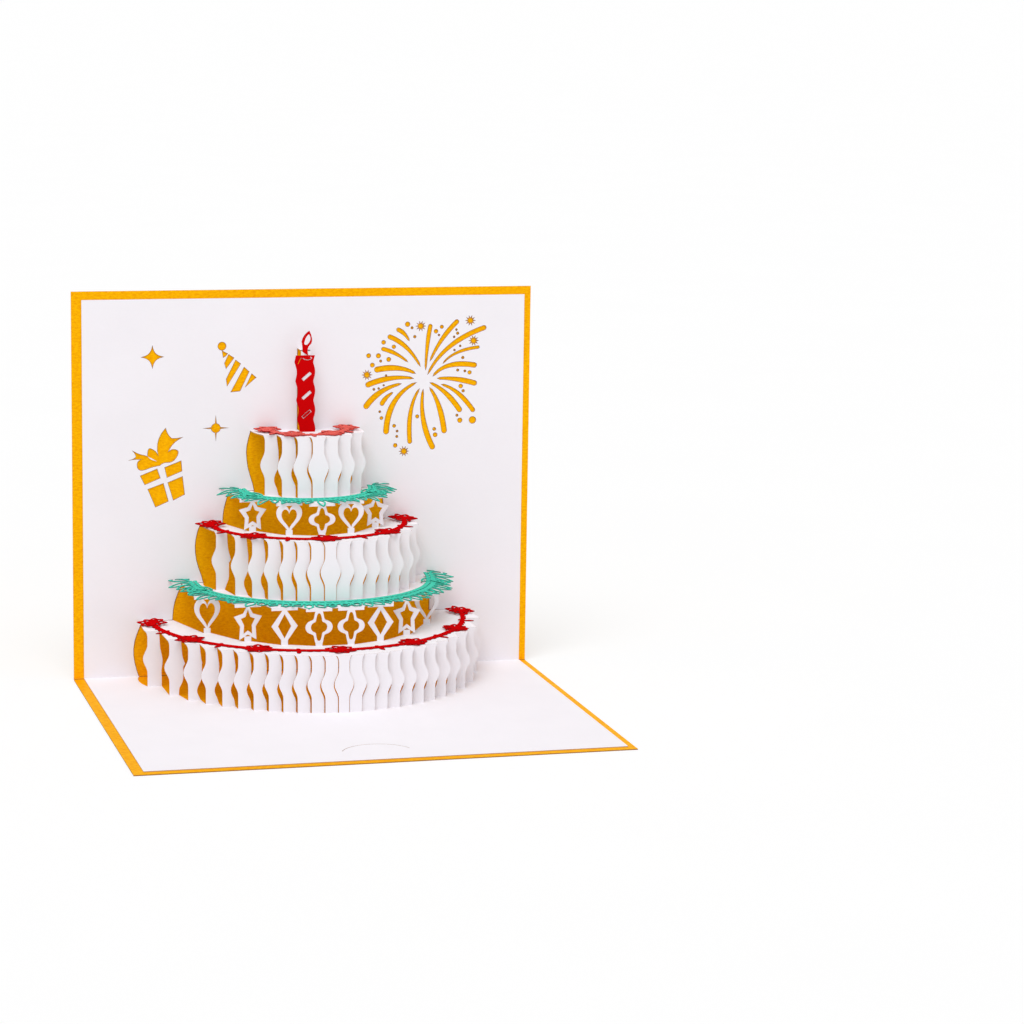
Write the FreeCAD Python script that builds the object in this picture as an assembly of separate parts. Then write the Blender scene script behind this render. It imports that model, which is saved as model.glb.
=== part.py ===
import FreeCAD, Part
import math
import os

# A pop up card, open at a right angle. The base leaf lies flat and the back leaf stands.
# Millimetres. X runs along the fold, Y towards the back, Z up.
# The origin is under the middle of the open card, on the surface that it lies on.
# A depth is measured forwards from the outside of the back leaf, a height from the floor.

# The card
CARD_WIDTH = 180.0
LEAF_LENGTH = 150.0
COVER_THICK = 0.35
CREASE_RADIUS = 0.9
# The size of leaf that the cake and the cut-outs below are drawn for
DRAWN_WIDTH = 180.0
DRAWN_LENGTH = 150.0

# The white sheet glued inside it
SHEET_THICK = 0.3
BORDER_LEFT = 3.9
BORDER_RIGHT = 2.6
BORDER_TOP = 3.2
BORDER_FRONT = 4.2
CUT_GAP = 0.25

# The five storeys of the cake, from the base up: height of each disc over the floor,
# half its width at the back leaf, and how far it stands out from the back leaf
STOREY_HEIGHTS = (22.2, 36.5, 59.5, 72.0, 95.5)
STOREY_HALF_WIDTHS = (65.9, 50.0, 41.0, 31.0, 21.3)
STOREY_REACHES = (76.0, 58.5, 47.0, 33.5, 22.0)
CURVE_SETBACK = 4.0

# Wavy slats round the first, third and fifth storeys
SLAT_COUNTS = {0: 25, 2: 15, 4: 7}
SLAT_GAP = 1.3
SLAT_BULGE = 1.75
INNER_BULGE = 1.0
NECK_SHARE = 0.25
SIDE_BULGE = 2.3
SIDE_INSET = 1.0

# Openwork figures round the second and fourth storeys
FIGURES = {
    1: ("heart", "star", "diamond", "flower", "flower", "diamond", "star", "heart"),
    3: ("star", "heart", "flower", "heart", "star"),
}
FIGURE_WIDTH = 10.0
FIGURE_STROKE = 2.0
FIGURE_FOOT = 2.6

# The candle and the strip of the sheet that it is glued to
CANDLE_WIDTH = 7.4
CANDLE_FOOT_TO_SHOULDER = 29.6
CANDLE_THICK = 0.3
CANDLE_WAVE = 0.55
CANDLE_TWISTS = 4
WICK_WIDTH = 2.2
WICK_LENGTH = 3.0
FLAME_WIDTH = 4.7
FLAME_HEIGHT = 6.4
FLAME_LEAN = 0.9
EYE_FOOT = 0.5
EYE_CROWN = 1.8
EYE_HALF_WIDTH = 1.1
STRUT_CENTRE = -1.1
STRUT_WIDTH = 3.6
STRUT_REACH = 7.0
STRUT_ABOVE_DISC = 30.8
DASH_LENGTH = 4.2
DASH_WIDTH = 1.3
DASH_ANGLE = 40.0
DASH_PITCH = 7.3
DASH_FIRST = 6.9
DASH_SHIFT = 0.4

# Paper trims glued on the discs. Each follows half an ellipse, given by its half width,
# its reach from the back leaf, and how many bunches or fans are spaced along it.
TRIM_THICK = 0.3
TRIM_END = 0.02
GARLANDS = {0: (61.0, 67.5, 7), 2: (38.0, 41.5, 5), 4: (15.5, 16.5, 4)}
GARLAND_WIDTH = 1.2
BUNCH_RADIUS = 5.2
BUNCH_NOTCH = 3.8
SPUR_LENGTH = 3.4
SPUR_WIDTH = 1.6
LACES = {1: (45.0, 47.6, 8), 3: (23.4, 22.6, 5)}
LACE_SHIFTS = {1: 2.0, 3: 0.0}
LACE_BAND = 3.0
PETAL_LENGTH = 9.0
PETAL_WIDTH = 3.2
PETAL_STROKE = 0.6
PETAL_ANGLES = (-60, -30, 0, 30, 60)

# The thumb cut in the base panel
THUMB_RADIUS = 13.0
THUMB_HALF_ANGLE = 68.0
THUMB_CENTRE = (-1.5, 138.0)

FOLD_Y = LEAF_LENGTH / 2
SHEET_BACK = COVER_THICK
SHEET_LEFT = -CARD_WIDTH / 2 + BORDER_LEFT
SHEET_RIGHT = CARD_WIDTH / 2 - BORDER_RIGHT
SHEET_TOP = LEAF_LENGTH - BORDER_TOP
SHEET_FRONT = LEAF_LENGTH - BORDER_FRONT
SHEET_FACE = COVER_THICK + SHEET_THICK

# How much wider and longer the card is than the drawn one
WIDE = CARD_WIDTH / DRAWN_WIDTH
LONG = LEAF_LENGTH / DRAWN_LENGTH
HEIGHTS = [LONG * z for z in STOREY_HEIGHTS]
HALF_WIDTHS = [WIDE * x for x in STOREY_HALF_WIDTHS]
REACHES = [LONG * depth for depth in STOREY_REACHES]
FIGURE_BREADTH = WIDE * FIGURE_WIDTH
STRUT_LEFT = WIDE * STRUT_CENTRE - STRUT_WIDTH / 2
STRUT_RIGHT = STRUT_LEFT + STRUT_WIDTH


def point(u, v):
    return FreeCAD.Vector(u, v, 0)


def chain(points):
    return [Part.makeLine(point(*a), point(*b)) for a, b in zip(points, points[1:])]


def arc(a, b, c):
    return Part.Arc(point(*a), point(*b), point(*c)).toShape()


def closed(points):
    return Part.makePolygon([point(*p) for p in list(points) + [points[0]]])


def fitted(points, across, up):
    """The closed outline of a cut-out, moved and stretched with the card."""
    return closed([(across * u, up * v) for u, v in points])


def dot(centre, radius, sides=6):
    return [turned([(radius, 0)], centre, 360 * k / sides)[0] for k in range(sides)]


def plate(outer, holes, thickness):
    face = Part.makeFace([outer] + list(holes), "Part::FaceMakerBullseye")
    return face.extrude(FreeCAD.Vector(0, 0, thickness))


def stand_up(shape, front_depth, thickness):
    standing = shape.copy()
    standing.rotate(FreeCAD.Vector(0, 0, 0), FreeCAD.Vector(1, 0, 0), 90)
    standing.translate(FreeCAD.Vector(0, FOLD_Y - front_depth + thickness, 0))
    return standing


def lay_down(shape, bottom):
    """Turns a shape drawn as x and depth into one that lies at a height."""
    laid = shape.mirror(FreeCAD.Vector(0, 0, 0), FreeCAD.Vector(0, 1, 0))
    laid.translate(FreeCAD.Vector(0, FOLD_Y, bottom))
    return laid


def turned(points, centre, angle):
    c = math.cos(math.radians(angle))
    s = math.sin(math.radians(angle))
    return [(centre[0] + c * u - s * v, centre[1] + s * u + c * v) for u, v in points]


def curve_depth(storey, x):
    half = HALF_WIDTHS[storey]
    share = min(1.0, abs(x) / half)
    return CURVE_SETBACK + (REACHES[storey] - CURVE_SETBACK) * math.sqrt(1 - share * share)


def foot_height(storey):
    return HEIGHTS[storey - 1] if storey else SHEET_FACE


class Slat:
    """One slat of the right half, or the middle one. Outwards is +x."""

    def __init__(self, storey, index):
        pitch = 2 * HALF_WIDTHS[storey] / SLAT_COUNTS[storey]
        self.x = index * pitch
        self.half = (pitch - SLAT_GAP) / 2
        self.depth = curve_depth(storey, self.x + self.half)
        self.top = HEIGHTS[storey]
        self.foot = foot_height(storey)
        self.inner = Slat(storey, index - 1) if index else None

    def bump(self, z):
        share = (z - self.foot) / (self.top - self.foot)
        if share <= NECK_SHARE or share >= 1 - NECK_SHARE:
            return 0.0
        wave = math.sin(math.pi * (share - NECK_SHARE) / (1 - 2 * NECK_SHARE))
        return wave * wave

    def outer_edge(self, z):
        return self.x + self.half + SLAT_BULGE * self.bump(z)

    def inner_edge(self, z):
        if self.inner is None:
            return -self.outer_edge(z)
        step = self.inner.depth - self.depth
        ease = min(1.0, (self.top - z) / (step + SLAT_GAP))
        edge = self.x - self.half - ease * (SLAT_GAP - CUT_GAP + INNER_BULGE * self.bump(z))
        if z + step < self.top:
            edge = max(edge, self.inner.outer_edge(z + step) + CUT_GAP)
        return edge

    def heights(self, drop=0.0):
        """Heights of an edge's corners, close together where it bulges."""
        tall = self.top - self.foot
        quarter = (0.5 - NECK_SHARE) / 2
        shares = [NECK_SHARE + quarter * k for k in range(5)]
        middle = [self.foot + share * tall - drop for share in shares]
        return [self.foot] + [z for z in middle if z > self.foot] + [self.top]

    def solid(self, side):
        step = self.inner.depth - self.depth if self.inner else 0.0
        drop = step if step < NECK_SHARE * (self.top - self.foot) else 0.0
        outer = [(side * self.outer_edge(z), z) for z in self.heights()]
        inner = [(side * self.inner_edge(z), z) for z in self.heights(drop)]
        root = self.foot - SHEET_THICK
        buried = [(outer[0][0], root), (inner[0][0], root)]
        outline = closed(buried + inner + outer[::-1])
        return stand_up(plate(outline, [], SHEET_THICK), self.depth, SHEET_THICK)


def slats(storey):
    return [Slat(storey, k) for k in range((SLAT_COUNTS[storey] + 1) // 2)]


def figure_centres(storey):
    count = len(FIGURES[storey])
    pitch = (2 * HALF_WIDTHS[storey] - FIGURE_STROKE) / count
    return [(k - (count - 1) / 2) * pitch for k in range(count)]


def figure_depth(storey, x):
    return curve_depth(storey, abs(x) + FIGURE_BREADTH / 4)


def fold_corners(storey, at_foot):
    """Corners of the folds of one storey from left to right, as x and depth."""
    corners = []
    if storey in SLAT_COUNTS:
        for slat in slats(storey):
            z = slat.foot if at_foot else slat.top
            ends = [slat.inner_edge(z), slat.outer_edge(z)]
            corners += [(x, slat.depth) for x in ends if x > 0]
    else:
        for x in figure_centres(storey):
            if x >= 0:
                depth = figure_depth(storey, x)
                half = FIGURE_FOOT / 2 if at_foot else FIGURE_BREADTH / 2
                corners += [(end, depth) for end in (x - half, x + half) if end > 0]
    return [(-x, depth) for x, depth in reversed(corners)] + corners


def storey_edges(storey, at_foot, back, inset):
    """Edges of a storey's outline, left to right, with its bulging sides at the back."""
    corners = [(x, depth - inset) for x, depth in fold_corners(storey, at_foot)]
    half = HALF_WIDTHS[storey]
    depth = corners[0][1]
    bulge = SLAT_BULGE if at_foot and storey in SLAT_COUNTS else 0.0
    if not bulge:
        return chain([(-half, back)] + corners + [(half, back)])
    left = arc((-half, back), (-half - bulge, (back + depth) / 2), corners[0])
    right = arc(corners[-1], (half + bulge, (back + depth) / 2), (half, back))
    return [left] + chain(corners) + [right]


def disc(storey):
    """One horizontal disc. Its back part is missing where the next storey came from."""
    back = SHEET_BACK
    edges = storey_edges(storey, False, back, 0.0)
    half = HALF_WIDTHS[storey]
    if storey + 1 < len(HEIGHTS):
        inner = HALF_WIDTHS[storey + 1]
        edges += storey_edges(storey + 1, True, back, SHEET_THICK)
        edges += chain([(-half, back), (-inner, back)])
        edges += chain([(half, back), (inner, back)])
    else:
        slot = STRUT_REACH - SHEET_THICK
        notch = [(-half, back), (STRUT_LEFT, back), (STRUT_LEFT, slot)]
        notch += [(STRUT_RIGHT, slot), (STRUT_RIGHT, back), (half, back)]
        edges += chain(notch)
    wire = Part.Wire(Part.__sortEdges__(edges))
    return lay_down(plate(wire, [], SHEET_THICK), HEIGHTS[storey] - SHEET_THICK)


def side_of_opening(storey, side):
    """The bulging cut that a storey leaves in the back panel, from its foot up."""
    half = HALF_WIDTHS[storey]
    foot = foot_height(storey) if storey else SHEET_BACK
    top = HEIGHTS[storey] - SHEET_THICK
    middle = (foot + top) / 2
    shoulder = half - SIDE_INSET
    return arc((side * half, foot), (side * (half + SIDE_BULGE), middle), (side * shoulder, top))


def opening_edges():
    """The stepped outline of the opening in the back panel, without the fold line."""
    edges = []
    for side in (-1, 1):
        for storey, half in enumerate(HALF_WIDTHS):
            edges.append(side_of_opening(storey, side))
            z = HEIGHTS[storey]
            if storey + 1 < len(HALF_WIDTHS):
                shoulder = side * (half - SIDE_INSET)
                edges += chain([(shoulder, z - SHEET_THICK), (side * HALF_WIDTHS[storey + 1], z)])
    top = HEIGHTS[-1] - SHEET_THICK
    half = HALF_WIDTHS[-1] - SIDE_INSET
    slot = HEIGHTS[-1] + LONG * STRUT_ABOVE_DISC - SHEET_THICK
    notch = [(-half, top), (STRUT_LEFT, top), (STRUT_LEFT, slot)]
    notch += [(STRUT_RIGHT, slot), (STRUT_RIGHT, top), (half, top)]
    return edges + chain(notch)


def sparkle(centre, reach, core, spike):
    """Corners of a four pointed star with a round middle."""
    corners = []
    for quarter in range(4):
        corners += turned([(core, -spike), (reach, 0), (core, spike)], centre, 90 * quarter)
        corners += turned([(core, 0)], centre, 90 * quarter + 45)
    return corners


def starburst(centre, reach, core, points=6):
    corners = []
    for k in range(2 * points):
        radius = core if k % 2 else reach
        corners += turned([(radius, 0)], centre, 180.0 * k / points)
    return corners


# Trails of the firework as inner, middle and outer points in x and z, with their widths
FIREWORK_TRAILS = (
    ((49.0, 117.3), (49.8, 127.0), (51.0, 134.6), 1.3),
    ((50.8, 120.7), (55.0, 129.3), (61.2, 135.9), 1.5),
    ((50.0, 115.5), (57.5, 126.8), (72.4, 133.7), 1.6),
    ((56.0, 119.7), (61.5, 123.8), (70.2, 126.0), 0.9),
    ((52.0, 114.7), (58.5, 118.9), (68.6, 118.9), 1.6),
    ((53.8, 113.8), (61.0, 113.4), (68.6, 111.7), 1.6),
    ((55.3, 111.4), (61.8, 108.0), (68.0, 101.0), 1.4),
    ((50.7, 112.2), (57.0, 108.0), (62.6, 101.2), 1.6),
    ((50.6, 110.2), (54.2, 103.0), (56.3, 93.0), 1.7),
    ((48.0, 109.7), (47.9, 98.0), (51.5, 86.6), 1.7),
    ((46.5, 109.9), (43.0, 101.0), (42.5, 89.0), 1.4),
    ((45.3, 112.4), (36.5, 105.0), (33.0, 93.2), 1.8),
    ((39.2, 112.0), (31.2, 109.0), (25.2, 103.4), 1.8),
    ((35.8, 108.6), (33.2, 106.6), (31.5, 104.3), 1.4),
    ((44.2, 114.0), (35.0, 114.2), (26.0, 111.9), 1.7),
    ((44.9, 116.0), (38.0, 118.2), (29.6, 117.8), 1.8),
    ((46.9, 118.7), (41.6, 126.2), (34.8, 130.6), 1.4),
    ((41.9, 120.6), (37.2, 123.8), (32.2, 125.9), 1.2),
    ((42.5, 129.0), (40.6, 131.7), (38.3, 133.3), 1.3),
)
FIREWORK_STARS = ((47.2, 134.7), (67.1, 136.6), (68.4, 128.6), (25.6, 115.7), (40.1, 85.1))
STAR_REACH = 1.7
STAR_CORE = 0.75
# Its larger sparks as x, z and radius
FIREWORK_SPARKS = (
    (41.9, 135.5, 0.9), (53.3, 132.5, 0.75), (55.6, 134.3, 0.65), (66.7, 116.0, 0.7),
    (63.1, 110.6, 0.75), (62.7, 96.9, 0.9), (67.8, 96.9, 1.35), (52.7, 91.4, 0.8),
    (45.5, 98.9, 0.65), (36.6, 87.5, 0.75), (34.3, 121.7, 0.8), (30.2, 123.2, 0.85),
    (27.8, 119.6, 0.8), (26.3, 123.3, 0.8), (32.3, 128.5, 0.75), (36.4, 126.7, 0.7),
)


def beside(a, b, distance):
    """The step to the left of the way from a to b."""
    length = math.hypot(b[0] - a[0], b[1] - a[1])
    return -(b[1] - a[1]) * distance / length, (b[0] - a[0]) * distance / length


def trail(inner, middle, outer, width):
    """One burning trail, pointed inside and blunt at its outer end."""
    bend = beside(inner, outer, width / 3)
    end = beside(middle, outer, width / 2)
    tip = (outer[0] + end[1], outer[1] - end[0])
    left = [(middle[0] + bend[0], middle[1] + bend[1]), (outer[0] + end[0], outer[1] + end[1])]
    right = [(outer[0] - end[0], outer[1] - end[1]), (middle[0] - bend[0], middle[1] - bend[1])]
    return [inner] + left + [tip] + right


def firework():
    outlines = [trail(*row) for row in FIREWORK_TRAILS]
    outlines += [starburst(centre, STAR_REACH, STAR_CORE) for centre in FIREWORK_STARS]
    outlines += [dot((x, z), radius) for x, z, radius in FIREWORK_SPARKS]
    return outlines


# The striped party hat, by the middle of its base and its tip in x and z
HAT_BASE = (-24.2, 112.4)
HAT_TIP = (-31.0, 126.4)
HAT_HALF_BASE = 6.0
HAT_STRIPES = 5
HAT_STRIPE_GAP = 1.1
HAT_SLANT = 2.2
HAT_TUFT = 1.5


def party_hat():
    """Five slanting stripes that make a cone, with a round tuft on its tip."""
    along = (HAT_TIP[0] - HAT_BASE[0], HAT_TIP[1] - HAT_BASE[1])
    height = math.hypot(*along)
    angle = math.degrees(math.atan2(along[1], along[0])) - 90
    tuft = turned([(0, height + HAT_TUFT)], HAT_BASE, angle)[0]
    outlines = [dot(tuft, HAT_TUFT)]
    for k in range(HAT_STRIPES):
        low = height * k / HAT_STRIPES
        high = low + height / HAT_STRIPES - HAT_STRIPE_GAP
        corners = []
        for level, side in ((low, -1), (low, 1), (high, 1), (high, -1)):
            u = side * HAT_HALF_BASE * (1 - level / height)
            corners.append((u, level + HAT_SLANT * u / HAT_HALF_BASE))
        outlines.append(turned(corners, HAT_BASE, angle))
    return outlines


# The gift box. Its right half is drawn with the middle of its top as the zero point.
GIFT_TOP = (-56.2, 80.7)
GIFT_TILT = 15.0
GIFT_CUTS = (
    ((0.85, -12.6), (6.3, -12.6), (6.7, -5.3), (0.85, -5.3)),
    ((0.85, -3.6), (7.7, -3.6), (7.7, 0.0), (0.85, 0.0)),
    ((0.7, 1.2), (5.2, 0.9), (6.6, 3.4), (3.4, 4.0)),
    ((0.6, 4.2), (3.6, 5.4), (7.6, 8.6), (7.0, 11.6), (3.0, 9.0)),
)


def gift_box():
    """Four panes of a tilted box, the bow's two loops and its two tails."""
    outlines = []
    for side in (-1, 1):
        for half in GIFT_CUTS:
            outlines.append(turned([(side * u, v) for u, v in half], GIFT_TOP, GIFT_TILT))
    return outlines


# Single sparkles by centre, reach, core and half the width of a spike's root
SPARKLES = (((-58.7, 124.5), 4.3, 0.9, 0.35), ((-34.1, 96.0), 5.0, 1.6, 0.4))


def back_panel():
    half = HALF_WIDTHS[0]
    foot = SHEET_BACK
    frame = [(-half, foot), (SHEET_LEFT, foot), (SHEET_LEFT, SHEET_TOP), (SHEET_RIGHT, SHEET_TOP)]
    frame += [(SHEET_RIGHT, foot), (half, foot)]
    outer = Part.Wire(Part.__sortEdges__(chain(frame) + opening_edges()))
    outlines = [sparkle(*row) for row in SPARKLES] + party_hat() + gift_box() + firework()
    holes = [fitted(outline, WIDE, LONG) for outline in outlines]
    return stand_up(plate(outer, holes, SHEET_THICK), SHEET_FACE, SHEET_THICK)


def thumb_cut():
    """A narrow curved slit whose ends point to the front."""
    centre = (WIDE * THUMB_CENTRE[0], LONG * THUMB_CENTRE[1])
    near = []
    far = []
    for share in (-1, 0, 1):
        angle = -90 + share * THUMB_HALF_ANGLE
        near += turned([(THUMB_RADIUS, 0)], centre, angle)
        far += turned([(THUMB_RADIUS + CUT_GAP, 0)], centre, angle)
    edges = [arc(*near), arc(*far)] + chain([near[0], far[0]]) + chain([near[2], far[2]])
    return Part.Wire(Part.__sortEdges__(edges))


def base_panel():
    half = HALF_WIDTHS[0]
    back = SHEET_BACK
    frame = [(-half, back), (SHEET_LEFT, back), (SHEET_LEFT, SHEET_FRONT), (SHEET_RIGHT, SHEET_FRONT)]
    frame += [(SHEET_RIGHT, back), (half, back)]
    edges = chain(frame) + storey_edges(0, True, back, SHEET_THICK)
    outer = Part.Wire(Part.__sortEdges__(edges))
    return lay_down(plate(outer, [thumb_cut()], SHEET_THICK), SHEET_BACK)


def ring_of(outline, middle, scale):
    """A figure drawn as a closed stroke: its outline with a smaller copy cut out."""
    hole = [(u * scale[0], middle + (v - middle) * scale[1]) for u, v in outline]
    return plate(closed(outline), [closed(hole)], SHEET_THICK)


def polar(radius_at, count, middle, stretch):
    points = []
    for k in range(count):
        angle = 2 * math.pi * k / count + math.pi / 2
        radius = radius_at(angle)
        points.append((radius * math.cos(angle), middle + stretch * radius * math.sin(angle)))
    return points


def heart(half, count=14):
    """The well known heart curve, a little above its middle."""
    points = []
    for k in range(count):
        a = 2 * math.pi * k / count
        v = 13 * math.cos(a) - 5 * math.cos(2 * a) - 2 * math.cos(3 * a) - math.cos(4 * a)
        points.append((half * math.sin(a) ** 3, half * (v + 2) / 16))
    return points


def figure_outline(kind, middle, tall):
    half = FIGURE_BREADTH / 2
    stretch = tall / FIGURE_BREADTH
    if kind == "heart":
        return [(u, middle + stretch * v) for u, v in heart(half)]
    if kind == "diamond":
        return polar(lambda a: half, 4, middle, stretch)
    if kind == "flower":
        return polar(lambda a: half * (0.82 + 0.22 * math.cos(4 * a)), 12, middle, stretch)

    def star_radius(a):
        beat = round((a - math.pi / 2) / (math.pi / 5))
        return half * 0.62 if beat % 2 else half * 1.12
    return polar(star_radius, 10, middle, stretch)


def bar(breadth, low, high):
    half = breadth / 2
    return plate(closed([(-half, low), (half, low), (half, high), (-half, high)]), [], SHEET_THICK)


def figure(storey, x, kind):
    """One figure of the openwork band, with a strip above and a foot below."""
    foot = foot_height(storey)
    top = HEIGHTS[storey]
    tall = top - foot
    middle = (foot + top) / 2
    outline = figure_outline(kind, middle, tall)
    inset = FIGURE_STROKE
    if kind in ("star", "diamond"):
        inset = FIGURE_STROKE * 1.25
    scale = (1 - 2 * inset / FIGURE_BREADTH, 1 - 2 * inset / tall)
    low = foot - SHEET_THICK
    strip = bar(FIGURE_BREADTH, top - FIGURE_STROKE * 0.6, top)
    base = bar(FIGURE_FOOT, low, foot + FIGURE_STROKE)
    window = bar(2 * FIGURE_BREADTH, low, top)
    body = ring_of(outline, middle, scale).fuse([strip, base]).common(window)
    body.translate(point(x, 0))
    return stand_up(body, figure_depth(storey, x), SHEET_THICK)


def strut():
    """The strip that comes forward from the back panel and down to the top disc."""
    top = HEIGHTS[-1] + LONG * STRUT_ABOVE_DISC
    low = HEIGHTS[-1] - SHEET_THICK
    front = [(STRUT_LEFT, low), (STRUT_RIGHT, low), (STRUT_RIGHT, top), (STRUT_LEFT, top)]
    roof = [(STRUT_LEFT, SHEET_BACK), (STRUT_RIGHT, SHEET_BACK)]
    roof += [(STRUT_RIGHT, STRUT_REACH), (STRUT_LEFT, STRUT_REACH)]
    return [
        stand_up(plate(closed(front), [], SHEET_THICK), STRUT_REACH, SHEET_THICK),
        lay_down(plate(closed(roof), [], SHEET_THICK), top - SHEET_THICK),
    ]


def pop_up_sheet():
    pieces = [base_panel()]
    pieces += [disc(storey) for storey in range(len(HEIGHTS))]
    for storey in SLAT_COUNTS:
        for slat in slats(storey):
            pieces.append(slat.solid(1))
            if slat.inner is not None:
                pieces.append(slat.solid(-1))
    for storey, kinds in FIGURES.items():
        for x, kind in zip(figure_centres(storey), kinds):
            pieces.append(figure(storey, x, kind))
    pieces += strut()
    return back_panel().fuse(pieces).removeSplitter()


# The cake cut out of the front, seen on the closed card with its fold at the left.
# Each place is a distance from the fold and a height over the lower edge.
ICING = (
    ((82.5, 75.3), (87.8, 79.2), (96.5, 80.8), (102.6, 80.7), (110.8, 75.6), (110.0, 74.0),
     (104.0, 76.9), (102.0, 75.9), (99.3, 77.2), (92.6, 76.9), (85.9, 74.2), (82.9, 74.0)),
    ((77.0, 56.3), (82.1, 61.3), (109.1, 61.5), (116.8, 58.0), (116.0, 55.8), (110.8, 56.9),
     (108.2, 55.4), (103.1, 58.8), (100.1, 57.2), (93.7, 57.9), (90.4, 56.1), (87.0, 57.7),
     (81.6, 56.5), (78.6, 55.0)),
    ((69.3, 36.9), (74.5, 41.6), (120.1, 42.7), (126.2, 39.9), (126.7, 37.0), (125.3, 34.7),
     (119.6, 38.0), (116.3, 35.7), (111.9, 38.7), (108.5, 34.0), (102.9, 37.6), (97.5, 37.8),
     (91.2, 33.6), (86.8, 38.2), (81.8, 31.9), (78.7, 35.9), (75.7, 32.5), (73.0, 35.0)),
)
CAKE_STAND = ((64.3, 19.6), (64.2, 17.1), (90.7, 14.8), (133.7, 17.5), (133.8, 20.9), (92.6, 18.9))
CAKE_FLAME = ((95.8, 100.0), (94.2, 96.8), (94.9, 95.4), (96.8, 95.4), (97.5, 96.9))
WICK_DASHES = ((95.9, 92.7), (95.9, 89.8), (95.9, 86.9), (95.9, 84.2))
# Distance, height and radius
CRESCENTS = (
    (86.3, 69.8, 2.9), (93.4, 72.7, 1.9), (104.5, 72.2, 1.5), (99.3, 67.8, 2.3), (109.3, 66.0, 2.6),
    (83.8, 64.4, 1.7), (93.1, 65.3, 1.9), (71.7, 31.3, 1.5), (77.9, 27.1, 2.4), (85.5, 27.6, 1.8),
    (92.6, 28.6, 2.1), (98.0, 33.1, 1.6), (101.8, 27.1, 2.1), (111.1, 29.5, 1.7), (120.0, 31.8, 2.4),
    (72.2, 22.7, 1.5), (82.8, 22.1, 1.6), (94.0, 22.6, 1.7), (108.4, 23.3, 1.6), (116.7, 23.7, 1.6),
    (125.1, 26.9, 1.7),
)
CAKE_DOTS = (
    (77.6, 51.2, 1.6), (82.9, 50.5, 1.4), (86.9, 53.5, 0.9), (95.2, 55.1, 1.4), (100.1, 54.3, 1.0),
    (105.1, 52.7, 1.6), (113.6, 52.3, 1.8), (92.4, 50.8, 1.1), (97.4, 50.4, 1.1), (80.0, 46.4, 1.2),
    (86.2, 46.1, 1.8), (96.4, 45.9, 1.4), (106.2, 47.8, 1.6), (112.0, 45.6, 1.5), (116.8, 46.4, 0.9),
)


WICK_DASH = ((-0.9, -1.0), (0.5, -0.3), (0.9, 1.0), (-0.5, 0.3))
CRESCENT_OUTER = (90, 30, -35, -100, -160)
CRESCENT_INNER = (-70, 30)
CRESCENT_HOLLOW = 0.42


def crescent(centre, radius):
    """A moon that opens to the upper left of the closed card."""
    outer = [turned([(radius, 0)], centre, angle)[0] for angle in CRESCENT_OUTER]
    hollow = radius * CRESCENT_HOLLOW
    return outer + [turned([(hollow, 0)], centre, angle)[0] for angle in CRESCENT_INNER]


def cake_cut_outs():
    """The cake on the front as wires in distance from the fold and height."""
    outlines = list(ICING) + [CAKE_STAND, CAKE_FLAME]
    outlines += [turned(WICK_DASH, centre, 0) for centre in WICK_DASHES]
    outlines += [crescent((u, v), radius) for u, v, radius in CRESCENTS]
    outlines += [dot((u, v), radius) for u, v, radius in CAKE_DOTS]
    return [fitted(outline, LONG, WIDE) for outline in outlines]


def crease(radius, inset):
    """A quarter turn round the fold, from the base leaf to the back leaf."""
    start = CREASE_RADIUS
    bend = start - radius * math.sqrt(0.5)
    return arc((FOLD_Y - start, inset), (FOLD_Y - bend, bend), (FOLD_Y - inset, start))


def cover():
    """The folded card with a rounded crease, and a cake cut out of its front."""
    front = FOLD_Y - LEAF_LENGTH
    t = COVER_THICK
    r = CREASE_RADIUS
    edges = [crease(r, 0.0), crease(r - t, t)]
    edges += chain([(FOLD_Y - r, 0), (front, 0), (front, t), (FOLD_Y - r, t)])
    edges += chain([(FOLD_Y, r), (FOLD_Y, LEAF_LENGTH), (FOLD_Y - t, LEAF_LENGTH), (FOLD_Y - t, r)])
    face = Part.Face(Part.Wire(Part.__sortEdges__(edges)))
    body = face.extrude(FreeCAD.Vector(0, 0, CARD_WIDTH))
    body.rotate(FreeCAD.Vector(0, 0, 0), FreeCAD.Vector(1, 1, 1), 120)
    body.translate(FreeCAD.Vector(-CARD_WIDTH / 2, 0, 0))
    cutter = Part.makeCompound([plate(wire, [], 2 * t) for wire in cake_cut_outs()])
    cutter.rotate(FreeCAD.Vector(0, 0, 0), FreeCAD.Vector(0, 0, 1), 90)
    cutter = cutter.mirror(FreeCAD.Vector(0, 0, 0), FreeCAD.Vector(0, 1, 0))
    cutter.translate(FreeCAD.Vector(CARD_WIDTH / 2, FOLD_Y, -t / 2))
    return body.cut(cutter)


def candle_sides(x, foot, top):
    """Its twisted left and right sides, from the foot up."""
    half = CANDLE_WIDTH / 2
    steps = 3 * CANDLE_TWISTS
    left = []
    right = []
    for k in range(steps + 1):
        z = foot + (top - foot) * k / steps
        swing = abs(CANDLE_WAVE * math.sin(math.pi * k * CANDLE_TWISTS / steps))
        left.append((x - half + swing, z))
        right.append((x + half - CANDLE_WAVE + swing, z))
    return left, right


def flame(x, low, high):
    """The right and left sides of the flame, and the eye cut in it."""
    wick = WICK_WIDTH / 2
    half = FLAME_WIDTH / 2
    tip = (x + FLAME_LEAN, high)
    right = arc((x + wick, low), (x + half, low + 0.45 * (high - low)), tip)
    left = arc(tip, (x - half, low + 0.35 * (high - low)), (x - wick, low))
    bottom = (x, low + EYE_FOOT)
    top = (x + FLAME_LEAN / 2, high - EYE_CROWN)
    middle = (bottom[1] + top[1]) / 2
    eye_left = arc(top, (x - EYE_HALF_WIDTH, middle), bottom)
    eye_right = arc(bottom, (x + FLAME_LEAN / 2 + EYE_HALF_WIDTH, middle), top)
    return [right, left], Part.Wire([eye_left, eye_right])


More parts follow.
